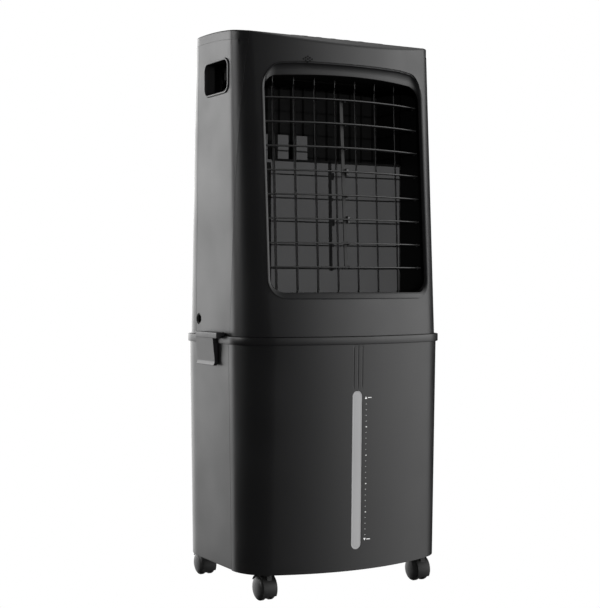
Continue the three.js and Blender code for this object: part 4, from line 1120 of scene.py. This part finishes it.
def louvre_blade(i):
    """Curved slat with a beaded front edge, an end pin each side and the lug for the link rod."""
    z = blade_z(i)
    half = OUTLET["half"] - 2
    section = [(0.0, 0.0), (0.2, 0.7), (0.75, 1.25), (1.6, 1.45), (2.6, 1.3), (4.0, 0.95), (12.0, 0.8),
               (20.5, 0.75), (21.7, 0.5), (BLADE_CHORD, 0.0)]
    section += [(depth, -up) for depth, up in section[-2:0:-1]]
    rings = []
    for x in even(-half, half, 64):
        y = upper_face(x, z) + BLADE_DEPTH
        rings.append([(x, y + depth, z + up) for depth, up in section])
    parts = [loft(rings)]
    for side in (-1, 1):
        start = side * (half - 3)
        profile = [(0, 0), (2, 0), (2, side * 10.4), (1.6, side * 11), (0, side * 11)]
        parts.append(lathe("x", (start, blade_axis_y(i), z), profile, 20))
        base = side * (half - 1.2)
        parts.append(peg("x", (base, blade_axis_y(i), z), 3.6, side * 1.0, 20))
    pin = link_pin_y(i)
    rear = pin - 7
    thick, half = (4.5, 7.5) if i in WIDE_LUGS else (2.5, 3.0)
    inner = ROD["x"] + ROD["web"] / 2 + 0.5
    lug = soften([(rear - 3, z - half + 1), (rear + 1, z - half), (pin + 3, z - half), (pin + 3, z + half),
                  (rear + 1, z + half), (rear - 3, z + half - 1)], [0.8, 1.5, 2.4, 2.4, 1.5, 0.8], 5)
    parts.append(prism("x", lug, inner, inner + thick))
    profile = [(0, 0), (1.4, 0), (1.4, -6.2), (0.9, -6.8), (0, -6.8)]
    parts.append(lathe("x", (inner + 1, pin, z), profile, 16))
    return join(parts)


def blade_link_rod():
    """Flat strip across the front with a web behind it that takes the blades' pins."""
    z1, z0 = blade_z(0) + 5, blade_z(BLADES - 1) - 5
    lean = (link_pin_y(0) - link_pin_y(BLADES - 1)) / (blade_z(0) - blade_z(BLADES - 1))

    def at(z):
        return link_pin_y(0) + (z - blade_z(0)) * lean

    right = []
    left = []
    for i in range(BLADES - 1, -1, -1):
        z = blade_z(i)
        for dz, back in ((-5, 2.2), (-4, 3.0), (0, 3.4), (4, 3.0), (6, 2.2)):
            if z + dz < z1 + 0.1:
                right.append((at(z + dz) + back, z + dz))
                left.append((at(z + dz) + ROD["front"] + 1, z + dz))
    outline = [*right, *left[::-1]]
    holes = [circle(link_pin_y(i), blade_z(i), 1.8, 16) for i in range(BLADES)]
    x1 = ROD["x"] + ROD["web"] / 2
    web = plate("x", outline, holes, x1 - ROD["web"], x1)
    strip = rounded_rect(x1 - ROD["flange"], x1, z0, z1, 2.5, 12.0, 5)
    middle = x1 - ROD["flange"] / 2
    thick = ROD["flange_thick"]
    rings = []
    for depth, shrink in ((0.0, 0.5), (0.5, 0.0), (thick - 0.3, 0.0), (thick, 0.3)):
        rings.append([(mix(x, middle, shrink / 4), at(z) + ROD["front"] + depth, z) for x, z in strip])
    return join([web, loft(rings)])


def on_vane_axis(part, x):
    """Moves a part drawn about an upright axis at x = y = 0 on to a vane's leaning axis."""
    y0, z0 = VANE_AXIS
    cos, sin = math.cos(VANE_LEAN), math.sin(VANE_LEAN)

    def change(p):
        up = p[2] - z0
        return (p[0] + x, y0 + p[1] * cos + up * sin, z0 - p[1] * sin + up * cos)
    return moved(part, change)


VANE_TALL = dict(bottom=617.0, shoulder=1031.0, top=1041.0, neck_top=1048.5, hub=1059.2)


def swing_vane(i):
    """Thin upright vane with a beaded front edge, sloped shoulders, pins, and the arm to the link bar."""
    section = [(0, -12), (0.7, -11.75), (0.95, -11.1), (0.95, -10.4), (0.9, -9.2), (1.15, -8), (1.15, 11.2),
               (0, 12)]
    section += [(-across, along) for across, along in section[-2:0:-1]]
    tall = VANE_TALL
    rings = []
    for z, along_scale, across_scale in ((tall["bottom"], 0.93, 0.5), (tall["bottom"] + 1.5, 1, 1),
                                         (tall["shoulder"], 1, 1), (tall["top"] - 1, 0.36, 1),
                                         (tall["top"], 0.3, 0.6)):
        rings.append([(across * across_scale, along * along_scale, z) for across, along in section])
    arm = soften([(-2, -2), (2, -2), (2, 17), (-2, 17)], [0.5, 0.5, 1.9, 1.9], 5)
    hub = tall["hub"]
    turning = join([loft(rings), prism("z", arm, hub, hub + 3),
                    lathe("z", (0, 14, hub + 2), [(0, 0), (1.3, 0), (1.3, 5), (0.8, 5.5), (0, 5.5)], 14)])
    cos, sin = math.cos(-VANE_TURN), math.sin(-VANE_TURN)
    turning = moved(turning, lambda p: (p[0] * cos - p[1] * sin, p[0] * sin + p[1] * cos, p[2]))
    neck = lathe("z", (0, 0, tall["top"] - 1),
                 [(0, 0), (1.6, 0), (1.6, 6.5), (2, 7.5), (2, 19), (0, 19)], 16)
    low = lathe("z", (0, 0, 606), [(0, 0), (2, 0), (2, 9), (3, 10), (3, 12), (0, 12)], 16)
    return on_vane_axis(join([turning, neck, low]), (i - (VANES - 1) / 2) * VANE_PITCH)


def louvre_frame():
    """Duct ring round both sets of vanes, from just behind the cove to the fan case."""
    front = COVE_DEPTH + 0.6
    back = -40.0
    lip = dict(side=6.6, top=front, bottom=front)
    inner_corner = 7.0
    rings = [outlet_ring(8, front), outlet_ring(3, front), outlet_ring(3, lip), outlet_ring(0.8, lip),
             outlet_ring(0, front + 0.6), outlet_ring(0, front + 3.0, inner_corner)]
    face = rings[-1]

    def flat_back(grow, y):
        return [(x, y, z) for x, _, z in outlet_ring(grow, 0, inner_corner)]

    for t in (0.3, 0.65):
        rings.append([(x, mix(y, back + 0.6, t), z) for x, y, z in face])
    rings += [flat_back(0, back - 0.6), flat_back(0.6, back), flat_back(8, back)]
    return strips(rings, wrap=True)


# ------------------------------------------------------------------ behind the louvres
PLATE_BOX = dict(left=-130.0, right=187.0, bottom=560.0, top=888.0, y=-38.0)
DUCT = dict(half=192.0, wall=2.5, front=-34.5, back=61.0, bottom=889.0, top=1057.0, mouth=(-118.0, 182.0),
            baffle_bottom=600.0)


UPSTANDS = ((-70.0, -44.0), (-114.0, -89.0), (-151.0, -138.0))    # left and right sides
UPSTAND_TALL = 52.0


def scroll_front_plate():
    """Flat front with three upstands; the last one stands past the plate's left edge."""
    top, tall = PLATE_BOX["top"], PLATE_BOX["top"] + UPSTAND_TALL
    left, right, bottom = PLATE_BOX["left"], PLATE_BOX["right"], PLATE_BOX["bottom"]
    outline = [(left, bottom), (right, bottom), (right, top)]
    for x0, x1 in UPSTANDS:
        outline += [(x1, top), (x1, tall), (x0, tall), (x0, top)]
    outline[-1:] = [(UPSTANDS[-1][0], top - 6), (left, top - 6)]
    radii = [3, 3, 3, *[1.5] * (len(outline) - 3)]
    return prism("y", soften(outline, radii, 3), PLATE_BOX["y"], PLATE_BOX["y"] + 3)


def plate_seal_shade_line():
    """Foam strip along the top edge of the fan case's front, near-black so that it paints the dark line of
    shade along that edge.
    """
    y, top = PLATE_BOX["y"], PLATE_BOX["top"]
    corners = [(y - 2.0, top - 2.6), (y + 1.0, top - 2.6), (y + 1.0, top + 2.4), (y - 2.0, top + 2.4)]
    section = soften(corners, 0.6, 3)
    return prism("x", section, PLATE_BOX["left"] + 1, PLATE_BOX["right"] - 1)


def outlet_duct():
    """Chamber over the fan case's mouth, with stiffening ribs on its back wall."""
    half, wall, front, back = DUCT["half"], DUCT["wall"], DUCT["front"], DUCT["back"]
    bottom, top = DUCT["bottom"], DUCT["top"]
    left, right = DUCT["mouth"]
    parts = [box(-half, half, back - wall, back, bottom, top),
             box(-half, half, front, back, top - wall, top)]
    for side in (-1, 1):
        a, b = sorted((side * half, side * (half - wall)))
        parts.append(box(a, b, front, back, bottom, top))
    parts.append(box(-half, left, front, back, bottom, bottom + wall))
    parts.append(box(right, half, front, back, bottom, bottom + wall))
    parts.append(box(-half, PLATE_BOX["left"] - 1, front, front + wall, DUCT["baffle_bottom"],
                     bottom + wall))
    for x in even(-half + 14, half - 14, 12):
        rib = soften([(x - 2.2, back - wall), (x - 1.0, back - wall - 7), (x + 1.0, back - wall - 7),
                      (x + 2.2, back - wall)], [0, 0.8, 0.8, 0], 3)
        parts.append(prism("z", rib, bottom + wall, top - wall))
    return join(parts)


# ------------------------------------------------------------------ top: control panel and buttons
PANEL_Y = (PANEL["front"] + PANEL["back"]) / 2
PANEL_DEPTH = PANEL["back"] - PANEL["front"]
BUTTONS = 5
BUTTON = dict(pitch=34.0, radius=9.0, height=7.0, proud=2.0)


def on_panel(part):
    """Moves a part drawn flat about the panel's middle to the panel's place."""
    tip = math.radians(PANEL["tip"])
    up = crown(PANEL_Y) + PANEL["lift"]

    def change(p):
        return (p[0], PANEL_Y + p[1] * math.cos(tip) - p[2] * math.sin(tip),
                up + p[1] * math.sin(tip) + p[2] * math.cos(tip))
    return moved(part, change)


def button_x(i):
    return (i - (BUTTONS - 1) / 2) * BUTTON["pitch"]


def control_panel():
    half, deep = PANEL["half"] - 0.5, PANEL_DEPTH / 2 - 0.5
    outline = rounded_rect(-half, half, -deep, deep, PANEL["corner"] - 0.5, 6.0, 6)
    holes = [circle(button_x(i), 0, BUTTON["radius"] + 0.4, 32) for i in range(BUTTONS)]
    flat, faces = fill(outline, holes, even(-half, half, 30)[1:-1], even(-deep, deep, 8)[1:-1], 2.0)
    return on_panel(([(x, y, 0.0) for x, y in flat], faces))


def panel_flange():
    half, deep = PANEL["half"] + 5, PANEL_DEPTH / 2 + 5
    outer = rounded_rect(-half, half, -deep, deep, PANEL["corner"] + 4, 20.0, 6)
    ring = rounded_rect(-half + 9, half - 9, -deep + 9, deep - 9, PANEL["corner"] - 3, 20.0, 6)
    return on_panel(plate("z", outer, [ring], -7.8, -4.8))


def button(i):
    r, proud = BUTTON["radius"], BUTTON["proud"]
    profile = [(0, proud - BUTTON["height"]), (r, proud - BUTTON["height"]), (r, proud - 1.0),
               (r - 0.3, proud - 0.35), (r - 1.0, proud), (r - 2.4, proud - 0.15), (r - 5, proud - 0.45),
               (2.5, proud - 0.55), (0, proud - 0.55)]
    return on_panel(lathe("z", (button_x(i), 0, 0), profile, 40))


def button_icons():
    """Plain raised signs on the panel in front of each button: dots, bars and a ring."""
    parts = []
    y = -19.0
    lift = 0.12
    for i in range(BUTTONS):
        x = button_x(i)
        if i == 0:
            parts.append(lathe("z", (x, y, 0), [(2.2, -0.3), (3.0, -0.3), (3.0, lift), (2.2, lift)], 24))
            parts.append(box(x - 0.4, x + 0.4, y + 0.6, y + 3.9, -0.3, lift))
        else:
            for k in range(i):
                dot = x + (k - (i - 1) / 2) * 2.6
                parts.append(peg("z", (dot, y, -0.3), 0.9, lift + 0.3, 14))
    return on_panel(join(parts))


DOTS = dict(x=-101.5, z=1081.5, pitch=4.3, squash=0.62)


def indicator_dots():
    """Diamond of nine small lenses above the outlet; their near-black finish paints them dark with shade."""
    parts = []
    for a in range(3):
        for b in range(3):
            x = DOTS["x"] + (a - b) * DOTS["pitch"]
            z = DOTS["z"] + (a + b - 2) * DOTS["pitch"] * DOTS["squash"]
            y = upper_face(x, z)
            profile = [(0, 1.0), (1.9, 1.0), (1.9, -0.3), (1.5, -0.6), (0.8, -0.45), (0, -0.3)]
            parts.append(lathe("y", (x, y, z), profile, 16))
    return join(parts)


# ------------------------------------------------------------------ back: filter and pad
FRAME_DEPTH = (14.2, 1.0)


def lean_box(x0, x1, depth0, depth1, z0, z1):
    corners = ((x0, z0), (x1, z0), (x1, z1), (x0, z1))
    return loft([[leaned_rear(x, z, depth) for x, z in corners] for depth in (depth0, depth1)])


def filter_frame():
    deep, shallow = FRAME_DEPTH
    sections = [(-0.8, deep), (-0.8, shallow + 0.8), (-1.6, shallow), (-13.5, shallow),
                (-14.6, shallow + 0.5), (-16, shallow + 3), (-16, deep)]
    base = rounded_rect(-FILTER["half"], FILTER["half"], FILTER["bottom"], FILTER["top"], 5.0, 12.0, 6)
    middle = (FILTER["bottom"] + FILTER["top"]) / 2
    tall = (FILTER["top"] - FILTER["bottom"]) / 2
    rings = []
    for grow, depth in sections:
        scale_x, scale_z = 1 + grow / FILTER["half"], 1 + grow / tall
        rings.append([leaned_rear(x * scale_x, middle + (z - middle) * scale_z, depth) for x, z in base])
    parts = [strips(rings, wrap=True)]
    z0, z1 = FILTER["bottom"] + 14, FILTER["top"] - 14
    half = FILTER["half"] - 14
    for x in (-75, 0, 75):
        parts.append(lean_box(x - 2, x + 2, deep - 1, shallow + 2, z0, z1))
    for z in even(FILTER["bottom"], FILTER["top"], 6)[1:-1]:
        parts.append(lean_box(-half, half, deep - 1.5, shallow + 2.5, z - 2, z + 2))
    for x in (-80, 80):
        grip = []
        for grow, depth in ((0, shallow), (-1.2, shallow - 0.6), (-2.0, shallow - 0.6),
                            (-4.5, shallow + 1.4), (-6.0, shallow + 1.6)):
            flat = rounded_rect(x - 22 - grow * 0.2, x + 22 + grow * 0.2, FILTER["top"] - 13 - grow * 0.2,
                                FILTER["top"] - 3 + grow * 0.2, 4.0, 8.0, 5)
            grip.append([leaned_rear(a, b, depth) for a, b in flat])
        parts.append(loft(grip))
    return join(parts)


def filter_mesh():
    """Fine dust net held in the filter frame."""
    half = FILTER["half"] - 15
    z0, z1 = FILTER["bottom"] + 15, FILTER["top"] - 15
    pitch = 6.0
    depth = 9.0
    thick = 0.45
    parts = []
    for x in even(-half, half, int(2 * half / pitch))[1:-1]:
        parts.append(lean_box(x - thick, x + thick, depth + thick, depth - thick, z0, z1))
    for z in even(z0, z1, int((z1 - z0) / pitch))[1:-1]:
        parts.append(lean_box(-half, half, depth + thick * 0.8, depth - thick * 0.8, z - thick, z + thick))
    return join(parts)


PAD_BOX = dict(half=150.0, front=90.0, back=130.0, bottom=553.0, top=1066.0)


def cooling_pad():
    """Corrugated sheets side by side, their flutes sloping up to the front and to the back in turn."""
    pitch = 8.0
    wave = 17.0
    amplitude = pitch * 0.46
    half = PAD_BOX["half"] - amplitude - 0.5
    sheets = int(2 * half / pitch)
    parts = []
    heights = even(PAD_BOX["bottom"], PAD_BOX["top"], int((PAD_BOX["top"] - PAD_BOX["bottom"]) / 2.2))
    for s, x0 in enumerate(even(-half, half, sheets)):
        slope = 1 if s % 2 == 0 else -1
        rings = []
        for y in even(PAD_BOX["front"], PAD_BOX["back"], 6):
            ring = []
            for z in heights:
                phase = (z + slope * (y - PAD_BOX["front"])) * 2 * math.pi / wave
                ring.append((x0 + amplitude * math.sin(phase), y, z))
            rings.append(ring)
        parts.append(strips(rings, closed=False))
    return join(parts)


# ------------------------------------------------------------------ casters
def caster_wheels(side, y):
    """Two wheels with domed outer faces, on one axle."""
    x = side * CASTER["x"]
    wheel_y = y + CASTER["trail"]
    r = CASTER["wheel"]
    parts = []
    for out in (-1, 1):
        face = x + out * CASTER["width"] / 2
        heights = [(0, 0.0), (4.5, 0.05), (9.0, 0.3), (13.5, 0.8), (17.5, 1.6), (20.5, 2.7), (22.6, 4.0),
                   (24.2, 5.6), (r, 7.4), (r, 12.4), (24.6, 13.2), (24, 13.5), (0, 13.5)]
        profile = [(radius, -out * depth) for radius, depth in heights]
        parts.append(lathe("x", (face, wheel_y, r), profile, 48))
    parts.append(peg("x", (x - 10, wheel_y, r), 3, 20, 20))
    return join(parts)


def caster_fork(side, y):
    """Stem, collar and the hood that arches over the wheels."""
    x = side * CASTER["x"]
    wheel_y = y + CASTER["trail"]
    r = CASTER["wheel"]
    parts = [lathe("z", (x, y, 49.5), [(0, 0), (5, 0), (5, 21.5), (4, 23), (0, 23)], 24),
             lathe("z", (x, y, 49.2), [(0, 0), (8.4, 0), (9, 0.6), (9, 3.0), (8.2, 3.8), (0, 3.8)], 32)]
    top = 52.0
    web = CASTER["web"]
    outline = arc(wheel_y, r, web, -70, 86, 26)
    outline += [(wheel_y, 49.0), (y + 9.5, 50.5), (y + 8, top), (y - 7, top), (y - 8, top - 1), (y - 8, 28)]
    outline += arc(wheel_y, r, web, 184, 286, 17)
    parts.append(plate("x", outline, [circle(wheel_y, r, 3.7, 20)], x - 5, x + 5))
    rings = []
    half, inside_r, outside_r = HOOD["half"], HOOD["inside"], HOOD["outside"]
    section = soften([(-half, inside_r), (half, inside_r), (half, outside_r), (-half, outside_r)], 0.7, 3)
    for turn in even(HOOD["start"], HOOD["end"], 26):
        angle = math.radians(turn)
        rings.append([(x + along, wheel_y + radius * math.cos(angle), r + radius * math.sin(angle))
                      for along, radius in section])
    parts.append(loft(rings))
    return join(parts)


# ------------------------------------------------------------------ build
def build():
    dress_cad_nodes()
    casing("housing_front", front_housing(), "front_housing", 1.0, 3)
    # the dots' near-black finish is painted shade
    piece("outlet_dots", indicator_dots(), PAINTED_SHADE, slot="inner")
    for side, label in ((-1, "left"), (1, "right")):
        casing(f"side_{label}", side_panel(side), f"{label}_side_panel", 0.7)
        piece(f"latch_lug_{label}", latch_lug(side), HOUSING)
        piece(f"handle_{label}", handle_cup(side), INNER, slot="inner", stands_for=[f"{label}_handle_cup"])
        piece(f"handle_rim_{label}", handle_rim(side), HOUSING)
        moving(f"clip_{label}", latch(side), HOUSING, f"{label}_latch")
    casing("housing_rear", rear_frame(), "rear_frame", 0.7)
    casing("lid", top_cover(), "top_cover", 0.5)

    tank = piece("tank_body", water_tank(), HOUSING, stands_for=["water_tank"])
    carve(tank, tank_cutters())
    casing("tank_front", tank_front_panel(), "tank_front_panel", 0.7)
    piece("tank_window", level_window(), FROSTED, slot="window", stands_for=["level_window"])
    piece("tank_marks", level_marks(), INK, slot="window")
    piece("inlet_thread", water_inlet(), INNER, slot="inner", stands_for=["water_inlet"])

    # the duct ring's near-black, dull finish paints the shade deep in the outlet
    piece("duct_ring", louvre_frame(), PAINTED_SHADE, slot="inner", stands_for=["louvre_frame"])
    for i in range(BLADES):
        moving(f"slat_{i + 1}", louvre_blade(i), LOUVRE, f"louvre_blade_{i + 1}", "louvre")
    moving("slat_rod", blade_link_rod(), LINK, "blade_link_rod", "louvre", 0.3)
    for i in range(VANES):
        vane = moving(f"vane_{i + 1}", swing_vane(i), VANE, f"swing_vane_{i + 1}", "inner")
        vane.visible_shadow = False    # the plate behind stays evenly lit
    piece("fan_case_plate", scroll_front_plate(), PLATE, slot="plate", stands_for=["scroll_front_plate"],
          bevel=0.5)
    # near-black strip that paints the line of shade along the plate's top edge
    piece("plate_seal_shade_line", plate_seal_shade_line(), PAINTED_SHADE, slot="rubber")
    # the chamber's near-black, dull finish paints the shade inside the outlet, above and beside the fan case
    # plate
    piece("duct_chamber", outlet_duct(), PAINTED_SHADE, slot="inner", stands_for=["outlet_duct"])

    piece("panel_plate", control_panel(), INNER, slot="inner", stands_for=["control_panel"], skin=4.8,
          bevel=0.5, closed=False)
    piece("panel_seat", panel_flange(), INNER, slot="inner")
    piece("panel_signs", button_icons(), INK, slot="window")
    for i in range(BUTTONS):
        moving(f"key_{i + 1}", button(i), LOUVRE, f"button_{i + 1}", "louvre")

    moving("filter_bars", filter_frame(), HOUSING, "filter_frame")
    piece("filter_net", filter_mesh(), INNER, body="filter_frame", slot="inner")
    piece("pad_sheets", cooling_pad(), PAD, slot="pad", stands_for=["cooling_pad"], closed=False)

    for label, side, y in (("front_left", -1, CASTER["front"]), ("front_right", 1, CASTER["front"]),
                           ("rear_left", -1, CASTER["rear"]), ("rear_right", 1, CASTER["rear"])):
        for kind, shape, look, slot in (("fork", caster_fork, INNER, "inner"),
                                        ("wheels", caster_wheels, WHEEL, "wheel")):
            moving(f"{kind}_{label}", shape(side, y), look, f"caster_{kind}_{label}", slot)


# ------------------------------------------------------------------ camera, floor and light
CAMERA = dict(place=(-1.4343, -2.4600, 0.63417), yaw=29.54, pitch=-0.91, lens=79.01)


def camera():
    data = bpy.data.cameras.new("camera")
    data.lens = CAMERA["lens"]
    data.sensor_width = 36.0
    data.clip_end = 200.0
    obj = added("camera", data)
    yaw, pitch = math.radians(CAMERA["yaw"]), math.radians(CAMERA["pitch"])
    ahead = Vector((math.sin(yaw) * math.cos(pitch), math.cos(yaw) * math.cos(pitch), math.sin(pitch)))
    obj.location = CAMERA["place"]
    obj.rotation_euler = ahead.to_track_quat("-Z", "Y").to_euler()
    bpy.context.scene.camera = obj


def glow(name, color, strength):
    material = bpy.data.materials.new(name)
    material.use_nodes = True
    nodes = material.node_tree.nodes
    nodes.remove(nodes["Principled BSDF"])
    emission = nodes.new("ShaderNodeEmission")
    emission.inputs["Color"].default_value = (*color, 1)
    emission.inputs["Strength"].default_value = strength
    material.node_tree.links.new(emission.outputs[0], nodes["Material Output"].inputs["Surface"])
    return material


def floor():
    mesh = bpy.data.meshes.new("floor")
    reach = 60.0
    mesh.from_pydata([(-reach, -reach, 0), (reach, -reach, 0), (reach, reach, 0), (-reach, reach, 0)], [],
                     [(0, 1, 2, 3)])
    obj = added("floor", mesh)
    mesh.materials.append(glow("pale_floor", (1, 1, 1), 1.0))
    obj.visible_glossy = False
    obj.visible_diffuse = False
    obj.visible_transmission = False
    obj.visible_shadow = False


# The last lobe is negative: it takes light away where it overlaps the others, down to AMBIENT.
LOBES = [  # direction turned from +X in degrees, height, full and fade-out angles, radiance
    (96.0, 0.0, 23.0, 32.0, 4.94),
    (150.0, 20.0, 10.0, 19.0, 4.4),
    (-12.0, 6.0, 10.0, 100.0, 3.5),
    (29.0, 0.0, 22.0, 38.0, -4.0),
]
AMBIENT = 0.04
HEIGHTS = [  # sine of the height above the horizon, and how bright the studio is there
    (-1.0, 0.023), (-0.7, 0.077), (-0.4, 0.23), (-0.2, 0.31), (-0.1, 0.485), (0.0, 0.59), (0.08, 0.69),
    (0.13, 0.77), (0.18, 1.0), (0.27, 0.9), (0.36, 0.27), (1.0, 0.19),
]
FILL = dict(toward=(0.2165, 0.9763, -0.0157), power=4.0, angle=0.35)


def fill_light():
    """Soft frontal light for what is matt: the fan case plate and the window."""
    data = bpy.data.lights.new("fill", "SUN")
    data.energy = FILL["power"]
    data.angle = math.radians(FILL["angle"])
    obj = added("fill", data)
    obj.rotation_euler = Vector(FILL["toward"]).to_track_quat("-Z", "Y").to_euler()
    obj.visible_glossy = False


def combined(tree, operation, first, second):
    """A sum, product or maximum of a socket and another socket or a number."""
    node = tree.nodes.new("ShaderNodeMath")
    node.operation = operation
    tree.links.new(first, node.inputs[0])
    if isinstance(second, float):
        node.inputs[1].default_value = second
    else:
        tree.links.new(second, node.inputs[1])
    return node.outputs["Value"]


def studio_light():
    """White backdrop for the camera; for all other rays a dim studio with broad soft lights."""
    world = bpy.data.worlds.new("studio")
    bpy.context.scene.world = world
    world.use_nodes = True
    tree = world.node_tree
    nodes, links = tree.nodes, tree.links
    nodes.clear()
    coords = nodes.new("ShaderNodeTexCoord")
    total = None
    for turn, lift, full, fade, power in LOBES:
        a, e = math.radians(turn), math.radians(lift)
        dot = nodes.new("ShaderNodeVectorMath")
        dot.operation = "DOT_PRODUCT"
        dot.inputs[1].default_value = (math.cos(a) * math.cos(e), math.sin(a) * math.cos(e), math.sin(e))
        links.new(coords.outputs["Generated"], dot.inputs[0])
        ramp = nodes.new("ShaderNodeMapRange")
        ramp.interpolation_type = "SMOOTHSTEP"
        ramp.inputs["From Min"].default_value = math.cos(math.radians(fade))
        ramp.inputs["From Max"].default_value = math.cos(math.radians(full))
        ramp.inputs["To Min"].default_value = 0.0
        ramp.inputs["To Max"].default_value = power
        links.new(dot.outputs["Value"], ramp.inputs["Value"])
        power_here = ramp.outputs["Result"]
        total = power_here if total is None else combined(tree, "ADD", total, power_here)
    lit = combined(tree, "MAXIMUM", total, AMBIENT)
    parts = nodes.new("ShaderNodeSeparateXYZ")
    links.new(coords.outputs["Generated"], parts.inputs[0])
    height = nodes.new("ShaderNodeMapRange")
    height.inputs["From Min"].default_value = -1.0
    links.new(parts.outputs["Z"], height.inputs["Value"])
    ramp = nodes.new("ShaderNodeValToRGB")
    while len(ramp.color_ramp.elements) < len(HEIGHTS):
        ramp.color_ramp.elements.new(0.5)
    for element, (z, level) in zip(ramp.color_ramp.elements, HEIGHTS):
        element.position = (z + 1) / 2
        element.color = (level, level, level, 1)
    links.new(height.outputs["Result"], ramp.inputs["Fac"])
    scaled = combined(tree, "MULTIPLY", lit, ramp.outputs["Color"])
    studio = nodes.new("ShaderNodeBackground")
    studio.inputs["Color"].default_value = (1, 1, 1, 1)
    links.new(scaled, studio.inputs["Strength"])
    backdrop = nodes.new("ShaderNodeBackground")
    backdrop.inputs["Color"].default_value = (1, 1, 1, 1)
    rays = nodes.new("ShaderNodeLightPath")
    chosen = nodes.new("ShaderNodeMixShader")
    links.new(rays.outputs["Is Camera Ray"], chosen.inputs["Fac"])
    links.new(studio.outputs[0], chosen.inputs[1])
    links.new(backdrop.outputs[0], chosen.inputs[2])
    out = nodes.new("ShaderNodeOutputWorld")
    links.new(chosen.outputs[0], out.inputs["Surface"])


build()
camera()
floor()
studio_light()
fill_light()
bpy.context.scene.view_settings.view_transform = "Standard"
